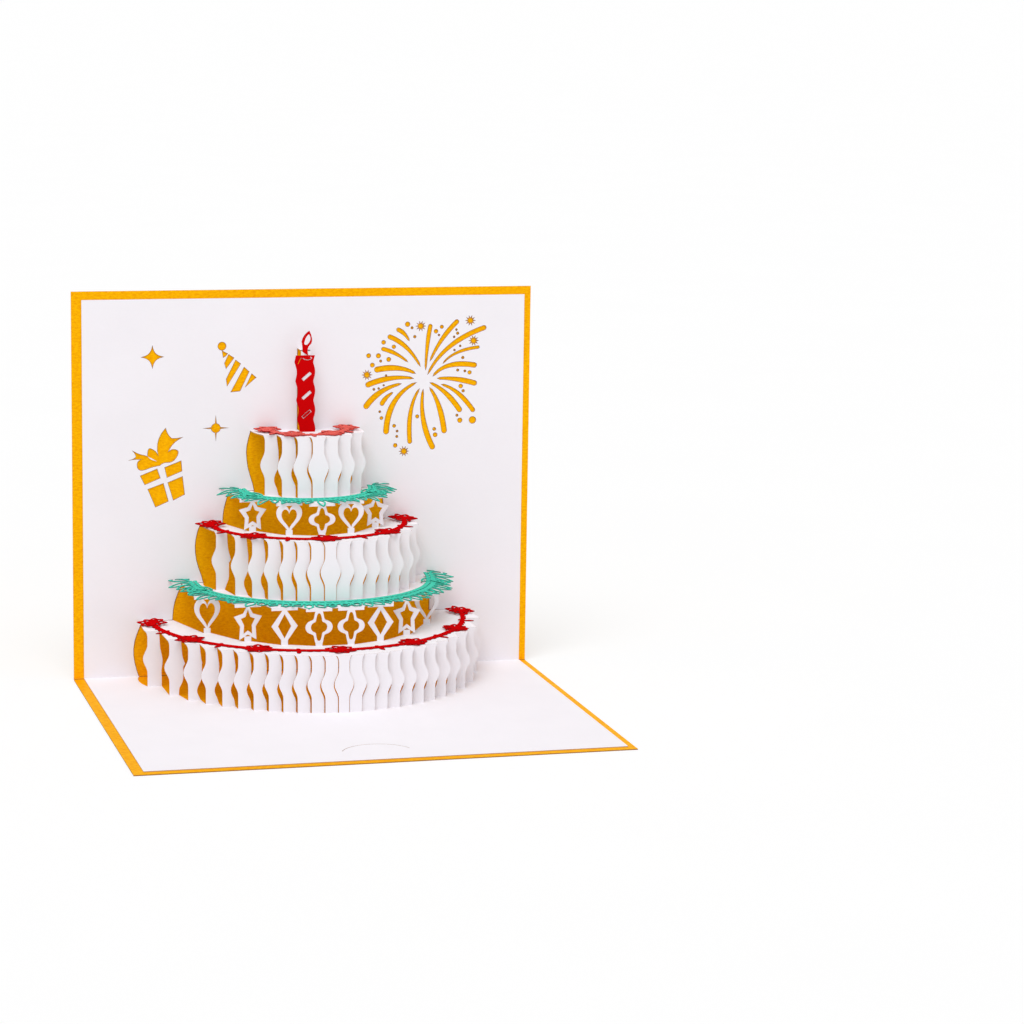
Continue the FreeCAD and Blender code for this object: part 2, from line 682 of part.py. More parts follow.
def candle():
    """A flat twisted candle with three slanting cuts and a pierced flame."""
    x = WIDE * STRUT_CENTRE
    foot = HEIGHTS[-1]
    top = foot + LONG * CANDLE_FOOT_TO_SHOULDER
    neck_top = top + WICK_LENGTH
    wick = WICK_WIDTH / 2
    left, right = candle_sides(x, foot, top)
    edges, eye = flame(x, neck_top, neck_top + LONG * FLAME_HEIGHT)
    edges += chain([left[0]] + right + [(x + wick, top), (x + wick, neck_top)])
    edges += chain(left + [(x - wick, top), (x - wick, neck_top)])
    outer = Part.Wire(Part.__sortEdges__(edges))
    a = DASH_LENGTH / 2
    b = DASH_WIDTH / 2
    holes = [eye]
    for k in range(3):
        centre = (x + DASH_SHIFT, foot + LONG * (DASH_FIRST + k * DASH_PITCH))
        holes.append(closed(turned([(-a, -b), (a, -b), (a, b), (-a, b)], centre, DASH_ANGLE)))
    return stand_up(plate(outer, holes, CANDLE_THICK), STRUT_REACH + CANDLE_THICK, CANDLE_THICK)


def trim_point(size, share, outwards):
    """A point along a trim's ellipse moved outwards, and the outward direction in degrees."""
    half = WIDE * size[0]
    reach = LONG * size[1] - CURVE_SETBACK
    angle = math.pi * (1 - share)
    normal = (math.cos(angle) / half, math.sin(angle) / reach)
    length = math.hypot(*normal)
    x = half * math.cos(angle) + outwards * normal[0] / length
    depth = CURVE_SETBACK + reach * math.sin(angle) + outwards * normal[1] / length
    return (x, depth), math.degrees(math.atan2(normal[1], normal[0]))


def trim_band(size, inner, outer, count=24):
    near = [trim_point(size, k / count, inner)[0] for k in range(count + 1)]
    far = [trim_point(size, k / count, outer)[0] for k in range(count + 1)]
    return plate(closed(near + far[::-1]), [], TRIM_THICK)


def trim_shares(count):
    """Even places along a trim, the first and last close to its ends."""
    return [TRIM_END + (1 - 2 * TRIM_END) * k / (count - 1) for k in range(count)]


def laid_trim(pieces, storey):
    """One trim from its overlapping parts, kept in front of the back panel."""
    body = pieces[0].fuse(pieces[1:]).removeSplitter()
    far = CARD_WIDTH + LEAF_LENGTH
    body = body.common(Part.makeBox(2 * far, far, far, FreeCAD.Vector(-far, SHEET_FACE + CUT_GAP, 0)))
    return lay_down(body, HEIGHTS[storey])


def garland(storey):
    """A thin strip with round bunches of leaves, and a spur halfway between them."""
    size = GARLANDS[storey]
    half = GARLAND_WIDTH / 2
    pieces = [trim_band(size, -half, half)]
    shares = trim_shares(size[2])
    for share in shares:
        centre, way = trim_point(size, share, 0)
        pieces.append(plate(closed(starburst(centre, BUNCH_RADIUS, BUNCH_NOTCH)), [], TRIM_THICK))
    for share, following in zip(shares, shares[1:]):
        root, way = trim_point(size, (share + following) / 2, 0)
        spur = [(0, -SPUR_WIDTH / 2), (SPUR_LENGTH, 0), (0, SPUR_WIDTH / 2)]
        pieces.append(plate(closed(turned(spur, root, way)), [], TRIM_THICK))
    return laid_trim(pieces, storey)


def petal(root, way, pierced):
    """One looped petal that starts inside the band."""
    length = PETAL_LENGTH + LACE_BAND / 2
    half = PETAL_WIDTH / 2
    eye = half - PETAL_STROKE
    outline = [(0, -eye), (0.72 * length, -half), (length, 0), (0.72 * length, half), (0, eye)]
    hole = [(0.35 * length, 0), (0.78 * length, eye), (0.78 * length, -eye)]
    holes = [closed(turned(hole, root, way))] if pierced else []
    return plate(closed(turned(outline, root, way)), holes, TRIM_THICK)


def lace(storey):
    """A band beside the next storey's feet, with fans of petals that pass the rim."""
    size = LACES[storey]
    pieces = [trim_band(size, 0, LACE_BAND)]
    for share in trim_shares(size[2]):
        for angle in PETAL_ANGLES:
            root, way = trim_point(size, share, LACE_BAND / 2)
            pieces.append(petal(root, way + angle, storey == 1))
    shape = laid_trim(pieces, storey)
    shape.translate(FreeCAD.Vector(WIDE * LACE_SHIFTS[storey], 0, 0))
    return shape


def export(node, shape):
    shape.exportStep(os.path.join("parts", node + ".step"))


def main():
    os.makedirs("parts", exist_ok=True)
    export("cover", cover())
    export("pop_up_sheet", pop_up_sheet())
    export("candle", candle())
    export("lower_garland", garland(0))
    export("middle_garland", garland(2))
    export("upper_garland", garland(4))
    export("lower_lace", lace(1))
    export("upper_lace", lace(3))


main()
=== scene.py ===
import math

import bmesh
import bpy
from bpy.props import FloatProperty, FloatVectorProperty, IntProperty, PointerProperty
from mathutils import Matrix, Vector
from mathutils.geometry import delaunay_2d_cdt


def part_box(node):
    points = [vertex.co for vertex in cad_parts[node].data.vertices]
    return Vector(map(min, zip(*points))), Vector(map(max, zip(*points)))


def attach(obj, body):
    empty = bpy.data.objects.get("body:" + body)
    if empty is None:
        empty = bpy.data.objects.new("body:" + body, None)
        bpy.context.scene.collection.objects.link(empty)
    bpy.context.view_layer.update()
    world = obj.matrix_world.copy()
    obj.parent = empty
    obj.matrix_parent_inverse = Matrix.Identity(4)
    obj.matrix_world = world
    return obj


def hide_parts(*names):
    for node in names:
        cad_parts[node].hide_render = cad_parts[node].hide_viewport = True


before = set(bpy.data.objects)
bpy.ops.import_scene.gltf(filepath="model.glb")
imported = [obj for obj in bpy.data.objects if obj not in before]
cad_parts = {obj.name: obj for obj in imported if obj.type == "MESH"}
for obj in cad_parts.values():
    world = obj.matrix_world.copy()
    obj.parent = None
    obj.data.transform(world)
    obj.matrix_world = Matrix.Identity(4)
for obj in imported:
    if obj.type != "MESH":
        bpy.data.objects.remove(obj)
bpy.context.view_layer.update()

bl_info = {
    "name": "Pop up cake card",
    "version": (1, 0, 0),
    "blender": (4, 5, 0),
    "location": "View3D > Sidebar > Card",
    "description": "Builds an open pop up card with a paper cake, from its cut and folded sheets",
    "category": "Add Mesh",
}

# X runs along the fold, Y towards the standing leaf, Z up. Outlines are drawn in millimetres,
# as x with a height, or x with a depth from the outside of the standing leaf.
MM = 0.001
COVER_LOW, COVER_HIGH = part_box("cover")
CARD_WIDTH = (COVER_HIGH.x - COVER_LOW.x) / MM
LEAF_LENGTH = (COVER_HIGH.z - COVER_LOW.z) / MM
FOLD_Y = COVER_HIGH.y / MM

STOREY_HEIGHTS = (22.2, 36.5, 59.5, 72.0, 95.5)
HALF_WIDTHS = (65.9, 50.0, 41.0, 31.0, 21.3)
REACHES = (76.0, 58.5, 47.0, 33.5, 22.0)
CURVE_SETBACK = 4.0
SLAT_COUNTS = {0: 25, 2: 15, 4: 7}
SLAT_PITCHES = {0: 5.2, 2: 5.33, 4: 5.55}
SLAT_FLARE = 0.85
FLARE_HEIGHT = 2.4
# Shares of the flare's height at which its side is drawn
FLARE_STEPS = (0.7, 0.4, 0.2, 0.08, 0)
STRAIGHT_FOOT = 0.12
# Plates that meet at a fold stand this far apart, so that no two faces share one place
FOLD_STEP = 0.02
NECK_SHARE = 0.25
INNER_BULGE = 1.0
DISC_BULGE = 0.7
# The side that each storey leaves in the standing leaf: shares of its height, and for each
# storey the steps outwards from its half width
SIDE_SHARES = (0.0, 0.12, 0.27, 0.4, 0.52, 0.65, 0.76, 0.88, 1.0)
SIDE_STEPS = (
    (-1.2, -0.3, 0.5, 0.9, 0.9, 0.5, -0.2, -1.2, -2.3),
    (1.6, 1.55, 1.4, 1.1, 0.7, 0.1, -0.5, -1.2, -1.9),
    (-1.4, -0.7, 0.5, 1.3, 1.7, 1.8, 1.5, 0.9, -0.1),
    (1.0, 1.0, 0.9, 0.7, 0.4, 0.0, -0.4, -0.8, -1.2),
    (-1.6, -1.0, 0.1, 0.9, 1.3, 1.5, 1.3, 0.7, -0.1),
)
# At the right the side steps outwards no further than this
RIGHT_LIMIT = 0.2
CUT_GAP = 0.25
# Widths of the dark rims round the cut-outs and along the opening: the browned paper that hot
# cutting leaves, with painted shade at the cuts
SCORCH_AND_SHADE = 0.14
OPENING_SCORCH_AND_SHADE = 0.22
# The rows of slats aren't quite even: steps to the right along each row, as x and step
SLAT_DRIFTS = {
    0: ((-64.0, 0.0), (-58.0, 0.6), (-47.0, 1.05), (-28.0, 0.7), (-10.0, 0.0), (8.0, -0.8),
        (20.0, -1.1), (40.0, -0.9), (52.0, -0.5), (64.0, 0.7)),
    2: ((-40.0, 2.0), (-20.0, 1.5), (-5.0, 0.5), (15.0, 0.6), (40.0, 1.6)),
    4: ((-20.0, 0.95), (20.0, 1.0)),
}
FIGURES = {
    1: ("heart", "star", "diamond", "flower", "flower", "diamond", "star", "heart"),
    3: ("star", "heart", "flower", "heart", "star"),
}
FIGURE_WIDTH = 10.0
FIGURE_FOOT = 2.6
BORDERS = {"left": 3.9, "right": 2.6, "top": 3.2, "front": 3.4}
CREASE_RADIUS = 0.9
# The crease is drawn in steps, and the middle ones are scored and painted dark inside as shade in
# the fold
CREASE_STEPS = 10
SHADED_CREASE_STEPS = range(3, 7)
STRUT_CENTRE = -1.1
STRUT_WIDTH = 3.6
STRUT_LEFT = STRUT_CENTRE - STRUT_WIDTH / 2
STRUT_RIGHT = STRUT_LEFT + STRUT_WIDTH
STRUT_REACH = 7.0
STRUT_TOP = STOREY_HEIGHTS[-1] + 31.6
# Points nearer than this are one point
MERGE_DISTANCE = 1e-4
# The material slots of a piece
FACE, EDGE, SCORCHED_AND_SHADED = range(3)


def colour_setting(name, description, default):
    return FloatVectorProperty(
        name=name, description=description, default=default, min=0.0, max=1.0,
        subtype="COLOR", size=3)


def length_setting(name, description, default, least, most):
    """A length, with its default and limits given in millimetres."""
    return FloatProperty(
        name=name, description=description, default=default * MM, min=least * MM,
        max=most * MM, precision=5, unit="LENGTH")


def number_setting(name, description, default, least, most):
    return FloatProperty(
        name=name, description=description, default=default, min=least, max=most)


class CardSettings(bpy.types.PropertyGroup):
    cover_thickness: length_setting(
        "Cover thickness", "Thickness of the coloured card", 0.35, 0.1, 2.0)
    sheet_thickness: length_setting(
        "Sheet thickness", "Thickness of the white paper", 0.3, 0.1, 2.0)
    cover_colour: colour_setting(
        "Cover colour", "Light tone of the pearlescent card", (1.0, 0.505, 0.003))
    cover_dark: colour_setting("Cover grain", "Dark tone of the card's grain", (0.81, 0.29, 0.002))
    # The cover edge tone is partly the card's browned cut edge and partly painted shade: it darkens
    # the front edge like the thin shadow under it, and the middle of the crease
    cover_edge_and_shade: colour_setting(
        "Cover edge", "Tone of the card's cut edges and of its scored crease", (0.42, 0.16, 0.015))
    paper_colour: colour_setting("Paper colour", "Tone of the white paper", (0.90, 0.87, 0.91))
    # The white paper's edge tone is partly the browned cut edge and partly painted light: a painted
    # reflection of the orange card and painted shade at the cuts
    edge_reflection_and_shade_colour: colour_setting(
        "Cut edge colour", "Tone of the white paper's cut edges", (0.56, 0.37, 0.23))
    # The scorch tone is partly browned paper and partly painted shade at the cuts
    scorch_and_shade_colour: colour_setting(
        "Scorch colour", "Tone of the browned rims of the white paper's cut-outs",
        (0.30, 0.115, 0.035))


class CakeSettings(bpy.types.PropertyGroup):
    slat_gap: length_setting(
        "Gap between slats", "Width of the cut between two slats' necks", 1.1, 0.2, 3.0)
    slat_bulge: length_setting(
        "Slat bulge", "How far a slat's outer side bulges at half height", 1.75, 0.0, 3.0)
    slat_points: IntProperty(
        name="Points along a slat", description="Points along the curved part of a slat's side",
        default=14, min=4, max=40)
    figure_stroke: length_setting(
        "Figure stroke", "Width of paper left round each openwork figure", 2.0, 0.5, 4.0)


class TrimSettings(bpy.types.PropertyGroup):
    red: colour_setting("Red", "Tone of the red paper", (0.62, 0.002, 0.003))
    # The upper red is the same red paper lightened by a painted sheen, the pale glint that red
    # paper shows at a grazing angle
    upper_red_painted_sheen: colour_setting(
        "Upper red", "Tone of the uppermost garland, a paler sheet", (0.78, 0.12, 0.095))
    turquoise: colour_setting("Turquoise", "Tone of the turquoise paper", (0.06, 0.66, 0.48))
    stroke: length_setting(
        "Stroke", "Width of the paper left round each leaf and petal", 0.6, 0.2, 2.0)
    petal_length: length_setting(
        "Petal length", "Length of the longest petal of a fan", 9.4, 2.0, 20.0)
    leaf_length: length_setting("Leaf length", "Length of the leaves in a bunch", 6.0, 2.0, 20.0)


class StageSettings(bpy.types.PropertyGroup):
    sun_strength: number_setting(
        "Window light", "Strength of the soft light from above the front", 1.82, 0.0, 20.0)
    world_strength: number_setting(
        "Room light", "Strength of the even light of the room", 0.55, 0.0, 5.0)
    lens: number_setting("Lens", "Focal length of the camera in millimetres", 113.3, 10.0, 400.0)


# Plane shapes

def turned(points, centre, angle):
    """The points turned by an angle in degrees and moved to a centre."""
    c = math.cos(math.radians(angle))
    s = math.sin(math.radians(angle))
    return [(centre[0] + c * u - s * v, centre[1] + s * u + c * v) for u, v in points]


def spoke(centre, radius, angle):
    """The point at a radius from the centre, in a direction in degrees."""
    return turned([(radius, 0)], centre, angle)[0]


def circle(centre, radius, count=20):
    return [spoke(centre, radius, 360 * k / count) for k in range(count)]


def box(left, right, low, high):
    return [(left, low), (right, low), (right, high), (left, high)]


def through(a, b, c, count=14):
    """Points of the smooth curve from a to c that passes b halfway."""
    points = []
    for k in range(count + 1):
        t = k / count
        parts = []
        for p, q, r in zip(a, b, c):
            handle = 2 * q - (p + r) / 2
            parts.append((1 - t) ** 2 * p + 2 * t * (1 - t) * handle + t * t * r)
        points.append(tuple(parts))
    return points


def smoothed(points, rounds=2):
    """A closed outline with its corners cut away again and again."""
    for _ in range(rounds):
        cut = []
        for a, b in zip(points, points[1:] + points[:1]):
            cut.append((0.75 * a[0] + 0.25 * b[0], 0.75 * a[1] + 0.25 * b[1]))
            cut.append((0.25 * a[0] + 0.75 * b[0], 0.25 * a[1] + 0.75 * b[1]))
        points = cut
    return points


def leaf(length, width, start=0.0, count=9):
    """A pointed oval from the start along +u."""
    upper = []
    for k in range(count + 1):
        t = k / count
        upper.append((start + length * t, 0.5 * width * math.sin(math.pi * t) ** 0.75))
    return upper + [(u, -v) for u, v in upper[-2:0:-1]]


def ring(outline, *holes):
    """An outline with its holes."""
    return outline, list(holes)


def mapped(rings, move):
    """The rings with every point moved by a function of its two measures."""
    return [ring([move(*point) for point in outline], *([move(*point) for point in hole]
                                                        for hole in holes))
            for outline, holes in rings]


def leaf_ring(length, width, stroke, root, way):
    """An openwork leaf that points a way in degrees."""
    outer = leaf(length, width)
    inner = leaf(length - 2.6 * stroke, width - 2 * stroke, 1.3 * stroke)
    return ring(turned(outer, root, way), turned(inner, root, way))


def counter_clockwise(points):
    area = sum(a[0] * b[1] - b[0] * a[1] for a, b in zip(points, points[1:] + points[:1]))
    return points if area > 0 else points[::-1]


def grown(points, step):
    """A closed outline with every corner moved outwards, by little more than the step."""
    loop = counter_clockwise(list(points))
    moved = []
    for a, b, c in zip(loop[-1:] + loop[:-1], loop, loop[1:] + loop[:1]):
        first = Vector((b[1] - a[1], a[0] - b[0])).normalized()
        second = Vector((c[1] - b[1], b[0] - c[0])).normalized()
        way = (first + second).normalized()
        reach = step / max(0.5, way.dot(first))
        moved.append((b[0] + way.x * reach, b[1] + way.y * reach))
    return moved


def beside(place, a, b, half):
    """The two points at half a width from a place, square to the way from a to b."""
    length = math.hypot(b[0] - a[0], b[1] - a[1])
    step = (-(b[1] - a[1]) * half / length, (b[0] - a[0]) * half / length)
    return (place[0] + step[0], place[1] + step[1]), (place[0] - step[0], place[1] - step[1])


def path(points, width):
    """A narrow band along points."""
    ends = zip(points[:1] + points[:-1], points[1:] + points[-1:])
    left, right = zip(*(beside(point, a, b, width / 2) for point, (a, b) in zip(points, ends)))
    return list(left) + list(right[::-1])


def joined(chain):
    """An outline of curves, from corners and the middles of the curves between them by turns."""
    outline = []
    for k in range(0, len(chain) - 1, 2):
        outline += through(chain[k], chain[k + 1], chain[(k + 2) % len(chain)], 5)[:-1]
    return outline


def triangles(rings, scorched_and_shaded):
    """The union of the rings as points, triangles, and whether each triangle lies under a dark rim
    of scorch and painted shade.

    A ring is an outline and its holes. A scorched and shaded outline colours what it covers, with
    browning and painted shade."""
    rows = [(outline, number, "solid") for number, (outline, _) in enumerate(rings)]
    rows += [(hole, number, "cut") for number, (_, holes) in enumerate(rings) for hole in holes]
    rows += [(outline, -1, "scorched_and_shaded") for outline in scorched_and_shaded]
    points = []
    loops = []
    for loop, _, _ in rows:
        start = len(points)
        points += [Vector(p) for p in counter_clockwise(list(loop))]
        loops.append(list(range(start, len(points))))
    made = delaunay_2d_cdt(points, [], loops, 0, MERGE_DISTANCE)
    kept = []
    for face, sources in zip(made[2], made[5]):
        covers = {"solid": set(), "cut": set(), "scorched_and_shaded": set()}
        for source in sources:
            _, number, kind = rows[source]
            covers[kind].add(number)
        if covers["solid"] - covers["cut"]:
            kept.append((face, bool(covers["scorched_and_shaded"])))
    return made[0], kept


def placed(name, data):
    """A new object in the scene."""
    made = bpy.data.objects.new(name, data)
    bpy.context.scene.collection.objects.link(made)
    return made


class Paper:
    """A mesh of thin plates, gathered in one object."""

    def __init__(self, thickness):
        self.bm = bmesh.new()
        self.thickness = thickness

    def corner(self, place):
        return self.bm.verts.new(Vector(place) * MM)

    def face(self, corners, slot):
        made = self.bm.faces.new(corners)
        made.material_index = slot
        return made

    def plate(self, rings, place, scorched_and_shaded=()):
        """A plate cut as the rings say.

        Place turns u, v and a share of the thickness to x, y, z."""
        points, faces = triangles(rings, scorched_and_shaded)
        used = sorted({i for corners, _ in faces for i in corners})
        low, high = ({i: self.corner(place(points[i].x, points[i].y, share)) for i in used}
                     for share in (0.0, 1.0))
        rim = {}
        made = []
        for corners, scorch_and_shade in faces:
            made.append(self.face([high[i] for i in corners], SCORCHED_AND_SHADED if scorch_and_shade else FACE))
            made.append(self.face([low[i] for i in reversed(corners)], FACE))
            for a, b in zip(corners, corners[1:] + corners[:1]):
                if (b, a) in rim:
                    del rim[(b, a)]
                else:
                    rim[(a, b)] = True
        made += [self.face([low[a], low[b], high[b], high[a]], EDGE) for a, b in rim]
        bmesh.ops.recalc_face_normals(self.bm, faces=made)

    def stand(self, rings, depth, scorched_and_shaded=()):
        """An upright plate, drawn as x and z, whose front face is at a depth."""
        def place(u, v, w):
            return (u, FOLD_Y - depth + self.thickness * (1 - w), v)
        self.plate(rings, place, scorched_and_shaded)

    def lay(self, rings, top, lift=None):
        """A level plate, drawn as x and depth, whose upper face is at a height."""
        def place(u, v, w):
            z = top - self.thickness * (1 - w)
            return (u, FOLD_Y - v, z + (lift(u, v) if lift else 0.0))
        self.plate(rings, place)

    def piece(self, name, materials, replaced):
        mesh = bpy.data.meshes.new(name)
        self.bm.to_mesh(mesh)
        self.bm.free()
        for finish in materials:
            mesh.materials.append(finish)
        made = placed(name, mesh)
        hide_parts(*replaced)
        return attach(made, "root")


# Shader maths

def both_ways(operation):
    """An arithmetic operator of shader values and its reflected form."""
    def forward(self, other):
        return self.math(operation, self, other)

    def reflected(self, other):
        return self.math(operation, other, self)
    return forward, reflected


class Value:
    """A shader socket that takes part in Python arithmetic."""

    def __init__(self, tree, socket):
        self.tree = tree
        self.socket = socket

    def math(self, operation, a, b):
        made = self.tree.node("ShaderNodeMath", {"operation": operation}, {0: a, 1: b})
        return Value(self.tree, made.outputs[0])

    __add__, __radd__ = both_ways("ADD")
    __sub__, __rsub__ = both_ways("SUBTRACT")
    __mul__, __rmul__ = both_ways("MULTIPLY")


class ShaderTree:
    """The nodes of a material or of the world, made through one method."""

    def __init__(self, owner):
        owner.use_nodes = True
        self.owner = owner
        self.nodes = owner.node_tree.nodes
        self.links = owner.node_tree.links
        self.nodes.clear()

    def node(self, kind, settings=None, sockets=None):
        made = self.nodes.new(kind)
        for name, value in (settings or {}).items():
            setattr(made, name, value)
        for name, value in (sockets or {}).items():
            if isinstance(value, Value):
                value = value.socket
            if isinstance(value, bpy.types.NodeSocket):
                self.links.new(value, made.inputs[name])
            else:
                made.inputs[name].default_value = value
        return made

    def noise(self, per_mm, detail=2.0, stretch=(1.0, 1.0, 1.0)):
        """Noise over the card in millimetres, stretched along each axis."""
        place = self.node("ShaderNodeTexCoord").outputs["Object"]
        scale = [share / MM for share in stretch]
        scaled = self.node("ShaderNodeVectorMath", {"operation": "MULTIPLY"}, {0: place, 1: scale})
        made = self.node("ShaderNodeTexNoise", sockets={
            "Vector": scaled.outputs[0], "Scale": per_mm, "Detail": detail, "Roughness": 0.55})
        return Value(self, made.outputs["Fac"])

    def blend(self, share, first, second):
        made = self.node("ShaderNodeMix", {"data_type": "RGBA", "clamp_factor": True}, {
            "Factor": share, 6: (*first, 1.0), 7: (*second, 1.0)})
        return made.outputs[2]

    def surface(self, colour, roughness, bump, distance, specular, metallic=0.0):
        """A surface whose bumps are a distance in millimetres high."""
        normal = self.node("ShaderNodeBump", sockets={
            "Height": bump, "Distance": distance * MM, "Strength": 1.0}).outputs["Normal"]
        made = self.node("ShaderNodeBsdfPrincipled", sockets={
            "Base Color": colour, "Roughness": roughness, "Normal": normal,
            "Metallic": metallic, "Specular IOR Level": specular})
        return made.outputs[0]

    def mixed(self, share, first, second):
        made = self.node("ShaderNodeMixShader", sockets={0: share, 1: first, 2: second})
        return made.outputs[0]

    def finish(self, surface, output="ShaderNodeOutputMaterial"):
        self.node(output, sockets={"Surface": surface})
        return self.owner


def material(name, recipe, *tones):
    """The material of this name, made by its recipe when it is first used."""
    made = bpy.data.materials.get(name)
    if made is None:
        made = recipe(ShaderTree(bpy.data.materials.new(name)), *tones)
    return made


def pearl_card(tree, light, dark):
    """Coated card: a mica sheen over a fine, slightly sideways grain."""
    grain = tree.noise(1.5, 3.0, (0.45, 1.0, 1.0))
    speck = tree.noise(3.4, 1.0)
    cloud = tree.noise(0.035, 2.0)
    share = grain * 2.3 + speck * 0.9 + cloud * 0.3 - 1.05
    tone = tree.blend(share, dark, light)
    bump = grain * 0.7 + speck * 0.5
    return tree.finish(tree.surface(tone, 0.62 - grain * 0.22, bump, 0.035, 0.0, metallic=0.35))


def matt_paper(tree, colour, shade, shine=0.15):
    """Uncoated paper: faint clouding, short fibres and a dry surface."""
    fibre = tree.noise(1.7, 4.0, (0.5, 1.0, 1.0))
    tooth = tree.noise(7.0, 2.0)
    cloud = tree.noise(0.05, 2.0)
    tone = tree.blend(fibre * 0.6 + cloud * 0.9 - 0.25, shade, colour)
    bump = fibre * 0.6 + tooth * 0.5
    return tree.finish(tree.surface(tone, 0.78 + fibre * 0.2, bump, 0.02, shine))


def cut_edge(tree, colour, shade):
    """The raw cut edge of a sheet, with short marks across it."""
    mark = tree.noise(3.5, 2.0)
    tone = tree.blend(mark * 1.6 - 0.3, shade, colour)
    return tree.finish(tree.surface(tone, 0.9 - mark * 0.1, mark, 0.02, 0.2))


def darker(colour, share):
    return tuple(part * share for part in colour)


def edge_material(name, tone, shade):
    return material(name, cut_edge, tone, darker(tone, shade))


def paper_materials(name, tone, shade, edge, edge_shade, *shine):
    """A sheet's face and cut edge, with what share of each tone its darker marks have."""
    return (material(name + "_face", matt_paper, tone, darker(tone, shade), *shine),
            edge_material(name + "_edge", edge, edge_shade))


def red_materials(trims):
    return paper_materials("red_paper", trims.red, 0.82, darker(trims.red, 0.5), 0.5, 0.0)


# The uppermost garland: the red paper with a painted sheen
def upper_red_painted_sheen_materials(trims):
    rim = darker(trims.red, 0.8)
    return paper_materials("upper_red_painted_sheen_paper", trims.upper_red_painted_sheen, 0.8, rim, 0.5)


# The cake's storeys

def curve_depth(storey, x):
    share = min(1.0, abs(x) / HALF_WIDTHS[storey])
    return CURVE_SETBACK + (REACHES[storey] - CURVE_SETBACK) * math.sqrt(1 - share * share)


def base_face(scene):
    """Height of the white sheet's upper face on the base leaf."""
    return (scene.card.cover_thickness + scene.card.sheet_thickness) / MM


def foot_height(scene, storey):
    return STOREY_HEIGHTS[storey - 1] if storey else base_face(scene)


class Slat:
    """One slat of the right half, or the middle one. Outwards is +x."""

    def __init__(self, scene, storey, index):
        settings = scene.cake
        pitch = SLAT_PITCHES[storey]
        self.gap = settings.slat_gap / MM
        self.bulge = settings.slat_bulge / MM
        self.points = settings.slat_points
        self.x = index * pitch
        self.half = (pitch - self.gap) / 2
        self.storey = storey
        self.depth = curve_depth(storey, self.x + self.half)
        self.top = STOREY_HEIGHTS[storey]
        self.foot = foot_height(scene, storey)
        self.inner = Slat(scene, storey, index - 1) if index else None

    def bump(self, z):
        share = (z - self.foot) / (self.top - self.foot)
        if share <= NECK_SHARE or share >= 1 - NECK_SHARE:
            return 0.0
        return math.sin(math.pi * (share - NECK_SHARE) / (1 - 2 * NECK_SHARE)) ** 2

    def flare(self, z):
        """The rounded corner where the cut between two slats ends at the fold."""
        share = max(0.0, 1 - (self.top - z) / FLARE_HEIGHT)
        return SLAT_FLARE * share * share

    def side_edge(self, z):
        return self.x + self.half + self.bulge * self.bump(z)

    def outer_edge(self, z):
        return self.side_edge(z) + self.flare(z)

    def inner_edge(self, z):
        """The side towards the middle, which follows the cut that frees the next slat inwards."""
        if self.inner is None:
            return -self.outer_edge(z)
        step = self.inner.depth - self.depth
        ease = min(1.0, (self.top - z) / (step + self.gap))
        edge = self.x - self.half - ease * (self.gap - CUT_GAP + INNER_BULGE * self.bump(z))
        if z + step < self.top:
            edge = max(edge, self.inner.side_edge(z + step) + CUT_GAP)
        return edge

    def heights(self):
        low = self.foot + STRAIGHT_FOOT * (self.top - self.foot)
        high = self.top - FLARE_HEIGHT
        middle = [low + (high - low) * k / self.points for k in range(self.points + 1)]
        return [self.foot] + middle + [self.top - FLARE_HEIGHT * step for step in FLARE_STEPS]

    def outline(self, side, root):
        outer, inner = (
            [(side * edge(z), min(z, self.top - FOLD_STEP)) for z in self.heights()]
            for edge in (self.outer_edge, self.inner_edge))
        buried = [(outer[0][0], self.foot - root), (inner[0][0], self.foot - root)]
        return [(drifted(self.storey, x), z) for x, z in buried + inner + outer[::-1]]

    def add(self, paper, side):
        paper.stand([ring(self.outline(side, paper.thickness / 2))], self.depth)


def drifted(storey, x):
    """A place along a row of slats, moved by the row's unevenness."""
    rows = SLAT_DRIFTS[storey]
    for (a, low), (b, high) in zip(rows, rows[1:]):
        if x <= b or b == rows[-1][0]:
            share = min(1.0, max(0.0, (x - a) / (b - a)))
            return x + low + share * (high - low)


def slats(scene, storey):
    return [Slat(scene, storey, k) for k in range((SLAT_COUNTS[storey] + 1) // 2)]


def figure_centres(scene, storey):
    count = len(FIGURES[storey])
    stroke = scene.cake.figure_stroke / MM
    pitch = (2 * HALF_WIDTHS[storey] - stroke) / count
    return [(k - (count - 1) / 2) * pitch for k in range(count)]


def figure_depth(storey, x):
    return curve_depth(storey, abs(x) + FIGURE_WIDTH / 4)


def fold_corners(scene, storey, at_foot):
    """Corners of the folds of one storey from left to right, as x and depth."""
    corners = []
    if storey in SLAT_COUNTS:
        for slat in slats(scene, storey):
            z = slat.foot if at_foot else slat.top
            ends = (slat.inner_edge(z), slat.outer_edge(z))
            corners += [(x, slat.depth) for x in ends if x > 0]
    else:
        for x in figure_centres(scene, storey):
            if x >= 0:
                depth = figure_depth(storey, x)
                half = FIGURE_FOOT / 2 if at_foot else FIGURE_WIDTH / 2
                corners += [(end, depth) for end in (x - half, x + half) if end > 0]
    corners = [(-x, depth) for x, depth in reversed(corners)] + corners
    if storey in SLAT_COUNTS:
        corners = [(drifted(storey, x), depth) for x, depth in corners]
    return corners


